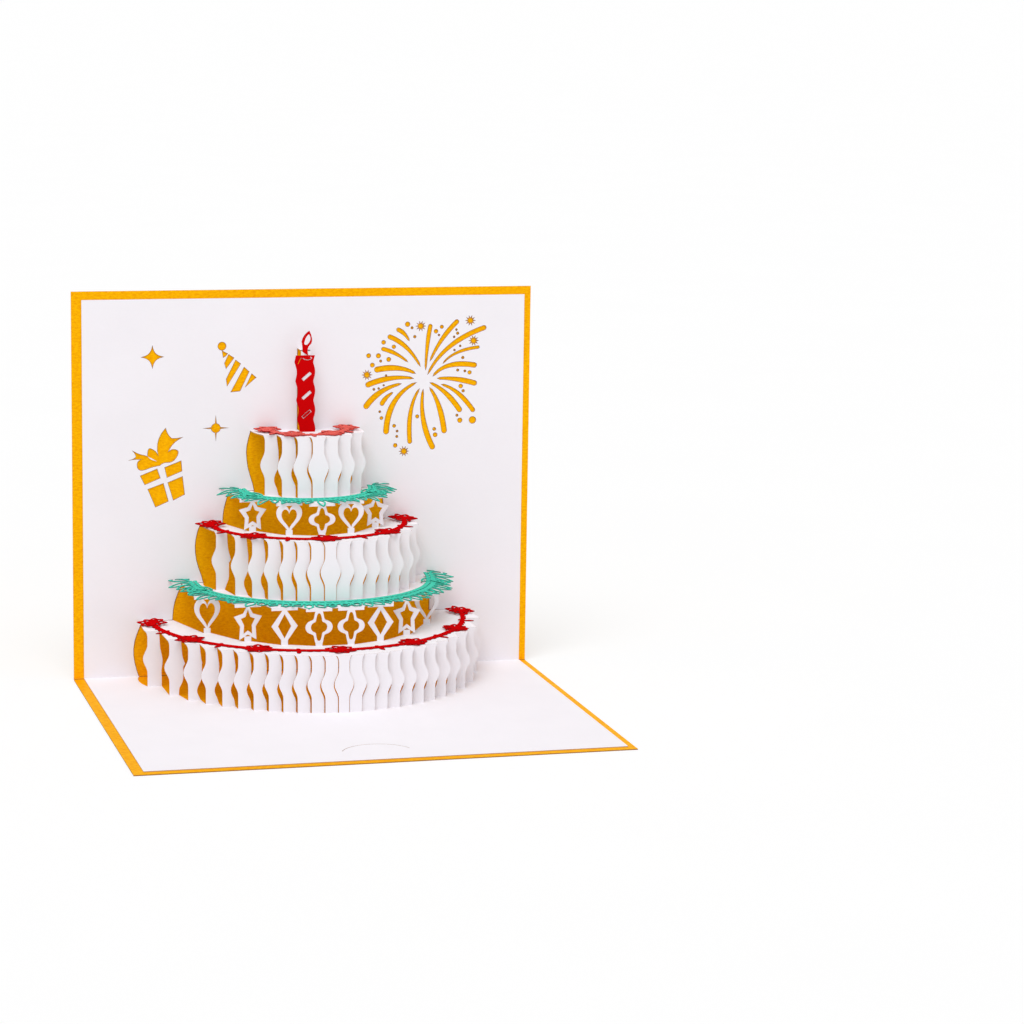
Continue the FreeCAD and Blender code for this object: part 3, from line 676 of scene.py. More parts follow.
def storey_line(scene, storey, at_foot, back, inset):
    """A storey's outline from left to right, with its bulging sides at the back."""
    corners = [(x, depth - inset) for x, depth in fold_corners(scene, storey, at_foot)]
    half = HALF_WIDTHS[storey] + SIDE_STEPS[storey][0 if at_foot else -1]
    if storey not in SLAT_COUNTS:
        return [(-half, back)] + corners + [(half, back)]
    bulge = scene.cake.slat_bulge / MM if at_foot else DISC_BULGE
    middle = (back + corners[0][1]) / 2
    left = through((-half, back), ((corners[0][0] - half) / 2 - bulge, middle), corners[0])
    right = through(corners[-1], ((corners[-1][0] + half) / 2 + bulge, middle), (half, back))
    return left[:-1] + corners + right[1:]


def add_disc(scene, paper, storey):
    back = scene.card.cover_thickness / MM
    rim = storey_line(scene, storey, False, back, FOLD_STEP)
    if storey + 1 < len(STOREY_HEIGHTS):
        inside = storey_line(scene, storey + 1, True, back, paper.thickness - FOLD_STEP)
    else:
        slot = STRUT_REACH - paper.thickness
        inside = [(STRUT_LEFT, back), (STRUT_LEFT, slot), (STRUT_RIGHT, slot), (STRUT_RIGHT, back)]
    paper.lay([ring(rim + inside[::-1])], STOREY_HEIGHTS[storey])


def opening_line(scene):
    """The stepped outline of the opening in the standing leaf, from left to right."""
    left = []
    right = []
    for storey, half in enumerate(HALF_WIDTHS):
        foot = foot_height(scene, storey) if storey else scene.card.cover_thickness / MM
        top = STOREY_HEIGHTS[storey] - scene.card.sheet_thickness / MM
        for share, step in zip(SIDE_SHARES, SIDE_STEPS[storey]):
            left.append((-half - step, foot + share * (top - foot)))
            right.append((half + min(step, RIGHT_LIMIT), foot + share * (top - foot)))
    top = right[-1][1]
    slot = STRUT_TOP - scene.card.sheet_thickness / MM
    notch = [(STRUT_LEFT, top), (STRUT_LEFT, slot), (STRUT_RIGHT, slot), (STRUT_RIGHT, top)]
    return left + notch + right[::-1]


# Cut-outs in the standing leaf, as x and height

# Centre, reach and waist
STAR = ((-59.2, 124.7), 4.3, 0.95)
# Centre, reach of the rays, radius, and half the width of a ray
RAYED_DISC = ((-34.8, 96.8), 5.0, 1.75, 0.22)
RAY_TURNS = (20, 32, 45, 58, 70)
# Reach, waist and number of points
STARBURST = (1.95, 0.8, 10)
TRAIL_SWELL = 0.58


def hollow_star(centre, reach, waist):
    """A four pointed star with hollow sides."""
    side = through((reach, 0), (waist * 1.35, waist * 1.35), (0, reach), 10)[:-1]
    return [point for quarter in range(4) for point in turned(side, centre, 90 * quarter)]


def rayed_disc(centre, reach, core, spike):
    """A small disc with four thin rays."""
    corners = []
    for quarter in range(4):
        corners += turned([(core, -spike), (reach, 0), (core, spike)], centre, 90 * quarter)
        corners += [spoke(centre, core, 90 * quarter + turn) for turn in RAY_TURNS]
    return corners


def starburst(centre, reach, core, points):
    return [spoke(centre, core if k % 2 else reach, 180.0 * k / points) for k in range(2 * points)]


# Trails of the firework as inner, middle and outer points, with their widths
FIREWORK_TRAILS = (
    ((47.9, 117.7), (48.5, 127.3), (49.6, 134.8), 1.3),
    ((49.6, 121.1), (54.2, 129.4), (60.2, 136.4), 1.4),
    ((48.7, 115.8), (57.2, 126.5), (71.2, 133.9), 1.5),
    ((54.8, 120.1), (60.3, 124.2), (68.9, 126.3), 0.9),
    ((50.9, 115.2), (57.4, 119.3), (67.5, 119.3), 1.6),
    ((52.7, 114.3), (59.9, 113.9), (67.6, 112.2), 1.6),
    ((54.3, 111.9), (60.8, 108.5), (67.1, 101.6), 1.4),
    ((49.7, 112.7), (56.0, 108.5), (61.7, 101.8), 1.6),
    ((49.6, 110.7), (53.3, 103.6), (55.6, 93.7), 1.7),
    ((47.0, 110.2), (47.1, 98.6), (50.9, 87.4), 1.7),
    ((45.5, 110.4), (42.1, 101.6), (41.8, 89.7), 1.4),
    ((44.3, 112.9), (35.6, 105.6), (32.3, 93.9), 1.8),
    ((38.2, 112.5), (30.2, 109.5), (24.3, 104.0), 1.8),
    ((34.8, 109.1), (32.3, 107.2), (30.6, 104.9), 1.4),
    ((43.1, 114.5), (33.9, 114.7), (25.0, 112.4), 1.7),
    ((43.8, 116.4), (36.9, 118.6), (28.5, 118.2), 1.8),
    ((45.8, 119.1), (40.3, 126.5), (33.5, 130.9), 1.4),
    ((40.7, 121.0), (36.0, 124.2), (30.9, 126.2), 1.2),
    ((41.2, 129.3), (39.2, 132.0), (36.9, 133.6), 1.3),
)
FIREWORK_STARS = ((45.8, 134.9), (65.7, 136.8), (67.1, 128.9), (24.5, 116.2), (39.5, 85.9))
# Sparks as x, z and radius
FIREWORK_SPARKS = (
    (40.5, 135.7, 0.9), (51.9, 132.8, 0.75), (54.2, 134.5, 0.65), (65.6, 116.4, 0.7),
    (62.1, 111.1, 0.75), (61.9, 97.6, 0.9), (67.0, 97.6, 1.35), (52.0, 92.1, 0.8),
    (44.7, 99.5, 0.65), (36.0, 88.3, 0.75), (33.1, 122.1, 0.8), (29.0, 123.6, 0.85),
    (26.6, 120.0, 0.8), (25.1, 123.7, 0.8), (31.0, 128.8, 0.75), (35.1, 127.0, 0.7),
    (42.3, 134.3, 0.45), (53.1, 131.3, 0.35), (60.1, 133.3, 0.35), (60.6, 131.9, 0.5),
    (59.2, 130.5, 0.35), (61.7, 126.9, 0.35), (59.4, 125.3, 0.35), (62.8, 122.3, 0.5),
    (60.8, 117.4, 0.45), (63.7, 117.0, 0.4), (63.1, 109.2, 0.5), (60.7, 99.6, 0.45),
    (51.6, 94.4, 0.6), (36.6, 91.8, 0.45), (36.7, 93.9, 0.4), (35.5, 96.0, 0.6),
    (30.4, 99.2, 0.6), (29.7, 101.7, 0.4), (29.2, 110.8, 0.35), (27.3, 110.5, 0.4),
    (31.2, 112.0, 0.3), (32.1, 115.8, 0.35), (29.9, 121.5, 0.45), (43.4, 130.8, 0.5),
)


def trail(inner, middle, outer, width):
    """One burning trail: a point inside that widens to a rounded end."""
    line = through(inner, middle, outer)
    left = []
    right = []
    for k, (a, b) in enumerate(zip(line, line[1:])):
        share = (k + 1) / (len(line) - 1)
        half = TRAIL_SWELL * width * min(1.0, 0.36 + 0.95 * share)
        for side, point in zip((left, right), beside(b, a, b, half)):
            side.append(point)
    a, b = line[-2:]
    angle = math.degrees(math.atan2(b[1] - a[1], b[0] - a[0]))
    cap = [spoke(outer, TRAIL_SWELL * width, angle + turn) for turn in (60, 30, 0, -30, -60)]
    return [inner] + left + cap + right[::-1]


# The party hat: its round tuft, then the tip and four slanting stripes from top to base
HAT_TUFT = ((-32.4, 128.4), 1.55)
HAT_STRIPES = (
    ((-32.3, 126.6), (-31.2, 125.9), (-30.3, 125.5), (-31.0, 124.6), (-31.9, 124.1)),
    ((-29.8, 125.1), (-27.8, 123.8), (-30.8, 119.8), (-31.4, 121.8)),
    ((-27.1, 122.9), (-25.2, 121.5), (-30.4, 113.0), (-30.7, 115.7)),
    ((-23.8, 120.1), (-21.9, 118.4), (-25.4, 111.0), (-28.9, 110.7)),
    ((-20.8, 117.5), (-19.2, 116.1), (-23.4, 112.4)),
)

# The gift box: its four panes, then the ribbon's bow and tails, as corners and middles by turns
GIFT_PANES = (
    ((-64.0, 79.0), (-57.6, 81.5), (-56.4, 78.0), (-62.3, 75.6)),
    ((-54.6, 82.0), (-48.3, 84.4), (-48.0, 80.5), (-53.7, 78.2)),
    ((-61.1, 73.7), (-55.2, 75.8), (-53.3, 68.9), (-58.2, 66.8)),
    ((-53.4, 76.1), (-47.8, 78.3), (-47.0, 71.4), (-51.3, 69.3)),
)
GIFT_BOW = (
    (-56.5, 82.9), (-59.5, 82.3), (-61.8, 81.5), (-64.4, 81.4), (-65.2, 83.4), (-64.7, 84.7),
    (-63.4, 85.3), (-66.2, 85.5), (-69.1, 85.0), (-66.9, 85.5), (-65.6, 86.4), (-66.1, 87.8),
    (-67.1, 88.9), (-64.9, 87.6), (-62.5, 86.9), (-60.0, 85.9), (-57.6, 84.5), (-60.6, 85.8),
    (-61.1, 88.0), (-60.6, 89.4), (-59.3, 89.1), (-57.9, 88.0), (-57.0, 86.3), (-57.1, 92.2),
    (-54.2, 97.2), (-53.4, 94.9), (-51.9, 93.2), (-49.7, 93.2), (-47.6, 93.6), (-51.2, 91.3),
    (-53.3, 87.9), (-52.0, 88.8), (-50.8, 88.9), (-49.5, 88.2), (-49.7, 86.6), (-51.4, 84.5),
    (-53.7, 84.0), (-55.3, 83.7),
)


def leaf_cut_outs():
    outlines = [hollow_star(*STAR), rayed_disc(*RAYED_DISC)]
    outlines += [circle(*HAT_TUFT), *HAT_STRIPES, *GIFT_PANES, joined(GIFT_BOW)]
    outlines += [trail(*row) for row in FIREWORK_TRAILS]
    outlines += [starburst(centre, *STARBURST) for centre in FIREWORK_STARS]
    # Small sparks are cut smaller than their rims, so they show as dark discs: painted shade in the
    # little holes as well as scorch
    for x, z, radius in FIREWORK_SPARKS:
        outlines.append(circle((x, z), min(radius, 1.35 * radius - 0.25), 14))
    return outlines


def scorched_and_shaded_rims(scene, cuts):
    """Outlines of the dark rims round the cut-outs and along the cake's opening: browned paper with
    painted shade, which stands for the shadow at the opening's edge and in the small holes.
    """
    rims = [grown(outline, SCORCH_AND_SHADE) for outline in cuts]
    rims += [circle((x, z), radius + SCORCH_AND_SHADE, 14) for x, z, radius in FIREWORK_SPARKS]
    return rims + [grown(opening_line(scene), OPENING_SCORCH_AND_SHADE)]


# The cut for the thumb at the front of the lower leaf, an arc round a centre behind it
THUMB_RADIUS = 13.0
THUMB_HALF_ANGLE = 68.0
THUMB_CENTRE = (-1.5, 138.0)


def thumb_cut():
    angles = [-90 + THUMB_HALF_ANGLE * k / 12 for k in range(-12, 13)]
    near, far = ([spoke(THUMB_CENTRE, radius, angle) for angle in angles]
                 for radius in (THUMB_RADIUS, THUMB_RADIUS + CUT_GAP))
    return near + far[::-1]


# Openwork figures

def polar(radius_at, count, middle, stretch):
    points = []
    for k in range(count):
        angle = 2 * math.pi * k / count + math.pi / 2
        radius = radius_at(angle)
        points.append((radius * math.cos(angle), middle + stretch * radius * math.sin(angle)))
    return points


def heart(half, count=36):
    points = []
    for k in range(count):
        a = 2 * math.pi * k / count
        v = 13 * math.cos(a) - 5 * math.cos(2 * a) - 2 * math.cos(3 * a) - math.cos(4 * a)
        points.append((half * math.sin(a) ** 3, half * (v + 2) / 16))
    return points


def figure_outline(kind, middle, tall):
    half = FIGURE_WIDTH / 2
    stretch = tall / FIGURE_WIDTH
    if kind == "heart":
        return [(u, middle + stretch * v) for u, v in heart(half)]
    if kind == "diamond":
        return polar(lambda a: half, 4, middle, stretch)
    if kind == "flower":
        return polar(lambda a: half * (0.82 + 0.22 * math.cos(4 * a)), 48, middle, stretch)

    def star_radius(a):
        beat = round((a - math.pi / 2) / (math.pi / 5))
        return half * 0.62 if beat % 2 else half * 1.12
    return polar(star_radius, 10, middle, stretch)


def clipped(points, low, high):
    """The outline with what passes below or above two heights pushed back to them."""
    return [(u, min(max(v, low), high)) for u, v in points]


def add_figure(scene, paper, storey, x, kind):
    foot = foot_height(scene, storey)
    top = STOREY_HEIGHTS[storey]
    tall = top - foot
    middle = (foot + top) / 2
    outline = figure_outline(kind, middle, tall)
    stroke = scene.cake.figure_stroke / MM
    inset = stroke * 1.25 if kind in ("star", "diamond") else stroke
    scale = (1 - 2 * inset / FIGURE_WIDTH, 1 - 2 * inset / tall)
    hole = [(u * scale[0], middle + (v - middle) * scale[1]) for u, v in outline]
    low = foot - paper.thickness / 2
    high = top - FOLD_STEP
    strip = box(-FIGURE_WIDTH / 2, FIGURE_WIDTH / 2, top - 0.6 * stroke, high)
    base = box(-FIGURE_FOOT / 2, FIGURE_FOOT / 2, low, foot + stroke)
    rings = [ring(clipped(outline, low, high), hole), ring(strip), ring(base)]
    paper.stand(mapped(rings, lambda u, v: (x + u, v)), figure_depth(storey, x))


# The cake cut out of the front, as a distance from the fold and a height over the lower edge
ICING = (
    ((82.5, 75.3), (87.8, 79.2), (96.5, 80.8), (102.6, 80.7), (110.8, 75.6), (110.0, 74.0),
     (104.0, 76.9), (102.0, 75.9), (99.3, 77.2), (92.6, 76.9), (85.9, 74.2), (82.9, 74.0)),
    ((77.0, 56.3), (82.1, 61.3), (109.1, 61.5), (116.8, 58.0), (116.0, 55.8), (110.8, 56.9),
     (108.2, 55.4), (103.1, 58.8), (100.1, 57.2), (93.7, 57.9), (90.4, 56.1), (87.0, 57.7),
     (81.6, 56.5), (78.6, 55.0)),
    ((69.3, 36.9), (74.5, 41.6), (120.1, 42.7), (126.2, 39.9), (126.7, 37.0), (125.3, 34.7),
     (119.6, 38.0), (116.3, 35.7), (111.9, 38.7), (108.5, 34.0), (102.9, 37.6), (97.5, 37.8),
     (91.2, 33.6), (86.8, 38.2), (81.8, 31.9), (78.7, 35.9), (75.7, 32.5), (73.0, 35.0)),
)
CAKE_STAND = ((64.3, 19.6), (64.2, 17.1), (90.7, 14.8), (133.7, 17.5), (133.8, 20.9), (92.6, 18.9))
CAKE_FLAME = ((95.8, 100.0), (94.2, 96.8), (94.9, 95.4), (96.8, 95.4), (97.5, 96.9))
WICK_DASHES = ((95.9, 92.7), (95.9, 89.8), (95.9, 86.9), (95.9, 84.2))
WICK_DASH = ((-0.9, -1.0), (0.5, -0.3), (0.9, 1.0), (-0.5, 0.3))
# Distance, height and radius
CRESCENTS = (
    (86.3, 69.8, 2.9), (93.4, 72.7, 1.9), (104.5, 72.2, 1.5), (99.3, 67.8, 2.3),
    (109.3, 66.0, 2.6), (83.8, 64.4, 1.7), (93.1, 65.3, 1.9), (71.7, 31.3, 1.5),
    (77.9, 27.1, 2.4), (85.5, 27.6, 1.8), (92.6, 28.6, 2.1), (98.0, 33.1, 1.6),
    (101.8, 27.1, 2.1), (111.1, 29.5, 1.7), (120.0, 31.8, 2.4), (72.2, 22.7, 1.5),
    (82.8, 22.1, 1.6), (94.0, 22.6, 1.7), (108.4, 23.3, 1.6), (116.7, 23.7, 1.6),
    (125.1, 26.9, 1.7),
)
CAKE_DOTS = (
    (77.6, 51.2, 1.6), (82.9, 50.5, 1.4), (86.9, 53.5, 0.9), (95.2, 55.1, 1.4),
    (100.1, 54.3, 1.0), (105.1, 52.7, 1.6), (113.6, 52.3, 1.8), (92.4, 50.8, 1.1),
    (97.4, 50.4, 1.1), (80.0, 46.4, 1.2), (86.2, 46.1, 1.8), (96.4, 45.9, 1.4),
    (106.2, 47.8, 1.6), (112.0, 45.6, 1.5), (116.8, 46.4, 0.9),
)


def crescent(centre, radius):
    """A moon that opens to the upper left of the closed card."""
    outer = [spoke(centre, radius, 90 - 250 * k / 16) for k in range(17)]
    bite = spoke(centre, 0.45 * radius, 145)
    return outer + [spoke(bite, 0.75 * radius, -105 + 140 * k / 8) for k in range(9)]


def front_cut_outs():
    """The cake on the front leaf as outlines in x and depth."""
    outlines = [smoothed(list(row)) for row in ICING]
    outlines += [smoothed(list(CAKE_STAND), 1), smoothed(list(CAKE_FLAME))]
    outlines += [turned(WICK_DASH, centre, 0) for centre in WICK_DASHES]
    outlines += [crescent((u, v), radius) for u, v, radius in CRESCENTS]
    outlines += [circle((u, v), radius, 18) for u, v, radius in CAKE_DOTS]
    return [[(CARD_WIDTH / 2 - v, u) for u, v in outline] for outline in outlines]


# Trims: name, then half width, reach, and number of bunches or fans
GARLANDS = {
    0: ("lower_garland", (61.0, 67.5, 7)),
    2: ("middle_garland", (38.0, 41.5, 5)),
    4: ("upper_garland", (15.5, 16.5, 4)),
}
GARLAND_LEANS = {0: 0.42, 2: 0.42, 4: 0.15}
GARLAND_LEAF_SHARES = {0: 1.0, 2: 1.0, 4: 0.9}
GARLAND_HALF = 0.85
KNOT_RADIUS = 1.3
BUNCH_LEAVES = 8
BUNCH_LEAF_WIDTH = 3.8
SPURS = 10
SPUR_ANGLE = 55
LACES = {1: ("lower_lace", (45.0, 47.6, 8)), 3: ("upper_lace", (24.0, 24.8, 5))}
LACE_SHIFTS = {1: 2.0, 3: 0.0}
# How much wider a lace's band is in the middle than at its ends, and its petals' width
LACE_SWELLS = {1: 2.4, 3: 1.2}
PETAL_WIDTHS = {1: 3.9, 3: 3.2}
LACE_BAND = 3.0
LACE_STROKE_SHARE = 1.15
PETAL_OVERLAP = 0.8
TRIM_THICKNESS = 0.3
TRIM_STEPS = 60
TRIM_END = 0.02
TRIM_LIFT_DEPTH = 16.0


def trim_point(size, share, outwards):
    """A point along a trim's ellipse moved outwards, and the outward direction in degrees."""
    half = size[0]
    reach = size[1] - CURVE_SETBACK
    angle = math.pi * (1 - share)
    normal = (math.cos(angle) / half, math.sin(angle) / reach)
    length = math.hypot(*normal)
    x = half * math.cos(angle) + outwards * normal[0] / length
    depth = CURVE_SETBACK + reach * math.sin(angle) + outwards * normal[1] / length
    return (x, depth), math.degrees(math.atan2(normal[1], normal[0]))


def trim_strip(size, inner, outer, width_at=lambda share: 1.0):
    """A strip along a trim, between two shares of the width that it has there."""
    shares = [k / TRIM_STEPS for k in range(TRIM_STEPS + 1)]
    near, far = ([trim_point(size, share, side * width_at(share))[0] for share in shares]
                 for side in (inner, outer))
    return ring(near + far[::-1])


def trim_shares(count):
    return [TRIM_END + (1 - 2 * TRIM_END) * k / (count - 1) for k in range(count)]


def curl(number):
    """How far the tip of a leaf or petal curls up or down, different from its neighbours'."""
    return 0.45 * math.sin(2.4 * number)


def garland_parts(size, leaf_length, stroke):
    """A knobby strip, and the leaves of its bunches as rings with their roots."""
    strip = [trim_strip(size, -GARLAND_HALF, GARLAND_HALF)]
    leaves = []
    shares = trim_shares(size[2])
    span = shares[1] - shares[0]
    for share in shares:
        centre, way = trim_point(size, share, 0)
        strip.append(ring(circle(centre, KNOT_RADIUS, 12)))
        for k in range(BUNCH_LEAVES):
            length = leaf_length * (0.86 if k % 2 else 1.0)
            turn = way + 180 / BUNCH_LEAVES + 360 / BUNCH_LEAVES * k
            outline = leaf_ring(length, BUNCH_LEAF_WIDTH, 1.5 * stroke, centre, turn)
            leaves.append((outline, centre))
    for share in shares[:-1]:
        for k in range(1, SPURS):
            root, way = trim_point(size, share + span * k / SPURS, 0)
            if 2 * k == SPURS:
                spurs = [turned(leaf(4.4, 1.7), root, way), turned(leaf(2.0, 1.6), root, way + 150)]
            else:
                lean = SPUR_ANGLE if 2 * k < SPURS else -SPUR_ANGLE
                spurs = [turned(leaf(3.0, 1.7, -0.9), root, way + lean)]
            strip += [ring(spur) for spur in spurs]
    return strip, leaves


def lace_parts(storey, size, petal_length, stroke):
    """A slit band, and its petals as rings with their roots."""
    def band_width(share):
        return LACE_BAND + LACE_SWELLS[storey] * math.sin(math.pi * share)

    def add_petal(place, wide, length_share, width, turn):
        root, way = trim_point(size, place, wide - PETAL_OVERLAP)
        length = length_share * (petal_length - wide + LACE_BAND)
        petals.append((leaf_ring(length, width, stroke, root, way - turn), root))

    band = [trim_strip(size, 0.0, 0.4, band_width), trim_strip(size, 0.55, 1.0, band_width)]
    steps = size[2] * 7
    for k in range(steps):
        wide = band_width(k / steps)
        slit = (trim_point(size, (k + 0.1) / steps, 0.15 * wide)[0],
                trim_point(size, (k + 0.9) / steps, 0.85 * wide)[0])
        band.append(ring(path(slit, 0.7)))
    petals = []
    width = PETAL_WIDTHS[storey]
    shares = trim_shares(size[2])
    span = shares[1] - shares[0]
    for share in shares:
        first = -5 if share == shares[-1] else -2
        last = 5 if share == shares[0] else 2
        for k in range(first, last + 1):
            place = share + max(-2, min(2, k)) * 0.13 * span
            add_petal(place, band_width(share), 1 - 0.035 * min(4, k * k), width, 25 * k)
    for share in shares[:-1]:
        for side in (0.42, 0.58):
            place = share + span * side
            add_petal(place, band_width(place), 0.8, 0.85 * width, 150 * (side - 0.5))
    return band, petals


def rear_lift(depth, height):
    """How much a trim's ends rise where they meet the standing leaf."""
    return height * max(0.0, 1 - depth / TRIM_LIFT_DEPTH)


def ellipse_share(x, depth, half, reach):
    """1 on the front curve of a disc or trim, and less inside it."""
    return math.hypot(x / half, (depth - CURVE_SETBACK) / (reach - CURVE_SETBACK))


def garland_lift(size, lean):
    """A garland leans: its inner side stands up from the disc."""
    def lift(x, depth):
        share = ellipse_share(x, depth, size[0], size[1])
        step = min(1.0, max(0.0, 0.3 + 0.6 * (1 - share) * size[1]))
        return lean * step + rear_lift(depth, 1.1)
    return lift


def lace_lift(storey, size, shift):
    """A lace leans: its inner edge stands a little up and its petals hang over the rim."""
    def lift(x, depth):
        share = ellipse_share(x - shift, depth, size[0], size[1])
        rim = ellipse_share(x, depth, HALF_WIDTHS[storey], REACHES[storey])
        inner = 0.35 * max(0.0, 1 - (share - 1) / 0.2)
        return inner - 7.5 * max(0.0, rim - 1) + rear_lift(depth, 1.4)
    return lift


def lay_trim(paper, base, leaves, top, lift, least, shift=0.0):
    """The base of a trim as one plate, and each of its leaves as a plate that curls.

    No point lies nearer to the standing leaf than the least depth."""
    def place(rings):
        return mapped(rings, lambda x, depth: (shift + x, max(least, depth)))
    paper.lay(place(base), top, lift)
    for number, (rings, root) in enumerate(leaves):
        def leaf_lift(x, depth):
            out = math.hypot(x - shift - root[0], depth - root[1])
            step = 0.02 + 0.015 * (number % 5)
            return lift(x, depth) + step + (curl(number) + 0.15) * (out / 9) ** 1.5
        paper.lay(place([rings]), top, leaf_lift)


# The operators

class CARD_OT_cover(bpy.types.Operator):
    """Build the coloured card: two leaves, the rounded crease and the cake cut out of its front"""
    bl_idname = "card.cover"
    bl_label = "Cover"

    def execute(self, context):
        card = context.scene.card
        t = card.cover_thickness / MM
        paper = Paper(t)
        half = CARD_WIDTH / 2
        flat = box(-half, half, CREASE_RADIUS, LEAF_LENGTH)
        paper.lay([ring(flat, *front_cut_outs())], t)
        paper.stand([ring(flat)], t)
        for step in range(CREASE_STEPS):
            corners = []
            for end in (step, step + 1):
                angle = math.pi / 2 * end / CREASE_STEPS
                for radius in (CREASE_RADIUS, CREASE_RADIUS - t):
                    y = FOLD_Y - CREASE_RADIUS + radius * math.sin(angle)
                    corners.append((y, CREASE_RADIUS - radius * math.cos(angle)))
            # The middle facets take the dark edge finish inside: painted shade along the fold
            self.bend(paper, corners, half, EDGE if step in SHADED_CREASE_STEPS else FACE)
        # The card edge finish is browned cut edge and painted shade together
        materials = (material("card_face", pearl_card, card.cover_colour, card.cover_dark),
                     edge_material("card_edge_and_shade", card.cover_edge_and_shade, 0.6))
        paper.piece("card_cover", materials, ["cover"])
        return {"FINISHED"}

    def bend(self, paper, corners, half, inside):
        """One straight facet of the crease. The scored ones are painted dark inside, like a cut
        edge, as shade in the fold.
        """
        outer_a, inner_a, outer_b, inner_b = (
            [paper.corner((x, y, z)) for x in (-half, half)] for y, z in corners)
        made = [paper.face([*outer_a, *reversed(outer_b)], FACE),
                paper.face([*inner_a, *reversed(inner_b)], inside)]
        for rim in zip(outer_a, inner_a, inner_b, outer_b):
            made.append(paper.face(rim, EDGE))
        bmesh.ops.recalc_face_normals(paper.bm, faces=made)


class CARD_OT_sheet(bpy.types.Operator):
    """Build the white sheet: the lining of both leaves and the cake cut and folded from it"""
    bl_idname = "card.sheet"
    bl_label = "Pop up sheet"

    def execute(self, context):
        scene = context.scene
        t = scene.card.sheet_thickness / MM
        paper = Paper(t)
        back = scene.card.cover_thickness / MM
        left = -CARD_WIDTH / 2 + BORDERS["left"]
        right = CARD_WIDTH / 2 - BORDERS["right"]
        front = LEAF_LENGTH - BORDERS["front"]
        top = LEAF_LENGTH - BORDERS["top"]
        foot = storey_line(scene, 0, True, back, t)
        base = [(left, back)] + foot + [(right, back), (right, front), (left, front)]
        paper.lay([ring(base, thumb_cut())], back + t)
        opening = opening_line(scene)
        panel = [(left, back)] + opening + [(right, back), (right, top), (left, top)]
        cuts = leaf_cut_outs()
        paper.stand([ring(panel, *cuts)], back + t, scorched_and_shaded_rims(scene, cuts))
        for storey in range(len(STOREY_HEIGHTS)):
            add_disc(scene, paper, storey)
        for storey in SLAT_COUNTS:
            for slat in slats(scene, storey):
                for side in (1, -1) if slat.inner else (1,):
                    slat.add(paper, side)
        for storey, kinds in FIGURES.items():
            for x, kind in zip(figure_centres(scene, storey), kinds):
                add_figure(scene, paper, storey, x, kind)
        strut = box(STRUT_LEFT, STRUT_RIGHT, STOREY_HEIGHTS[-1] - t, STRUT_TOP)
        paper.stand([ring(strut)], STRUT_REACH)
        paper.lay([ring(box(STRUT_LEFT, STRUT_RIGHT, back, STRUT_REACH))], STRUT_TOP)
        card = scene.card
        # The white paper's edges carry a painted reflection of the orange card and painted shade as
        # well as their browning
        materials = paper_materials("white_paper", card.paper_colour, 0.955, card.edge_reflection_and_shade_colour, 0.7)
        # The scorched finish is browning and painted shade together
        scorch_and_shade = edge_material("white_paper_scorched_and_shaded", card.scorch_and_shade_colour, 0.6)
        paper.piece("white_sheet", (*materials, scorch_and_shade), ["pop_up_sheet"])
        return {"FINISHED"}


CANDLE_THICKNESS = 0.3
CANDLE_HEIGHT = 29.6
CANDLE_WAVE = 0.75
CANDLE_TWISTS = 4
# Left and right side at the foot, and at the shoulder
CANDLE_FOOT = (-3.7, 2.4)
CANDLE_TOP = (-5.2, 2.2)
CANDLE_SHIFT = -0.4
# The flame and the hole in it, as corners and middles by turns
FLAME = (
    (-0.2, 125.1), (-0.35, 127.1), (0.1, 128.7), (1.35, 130.9), (0.3, 134.6), (-1.7, 132.8),
    (-2.75, 130.4), (-2.4, 128.2), (-2.3, 125.1),
)
FLAME_EYE = (
    (0.15, 133.3), (0.75, 131.2), (-0.5, 129.2), (-1.6, 129.4), (-1.5, 130.7), (-0.9, 132.2),
)
# The cuts of a run of wax: a narrow path along these points
WAX_LEFT = ((-4.1, 121.8), (-3.4, 123.3), (-2.7, 124.2))
WAX_RIGHT = ((-2.2, 124.1), (-1.5, 123.5), (-0.2, 123.3), (0.9, 123.6), (1.3, 124.1), (0.7, 124.5))
WAX_WIDTH = 0.32
DASH_LENGTH = 4.2
DASH_WIDTH = 1.3
DASH_ANGLE = 40.0
DASH_PITCH = 7.3
DASH_FIRST = 6.9
DASH_SHIFT = 0.4
# The lowest slanting cut keeps its scrap of paper, a little smaller than the cut and behind it
SCRAP_SHARES = (0.86, 0.62)
SCRAP_STEP = 0.05


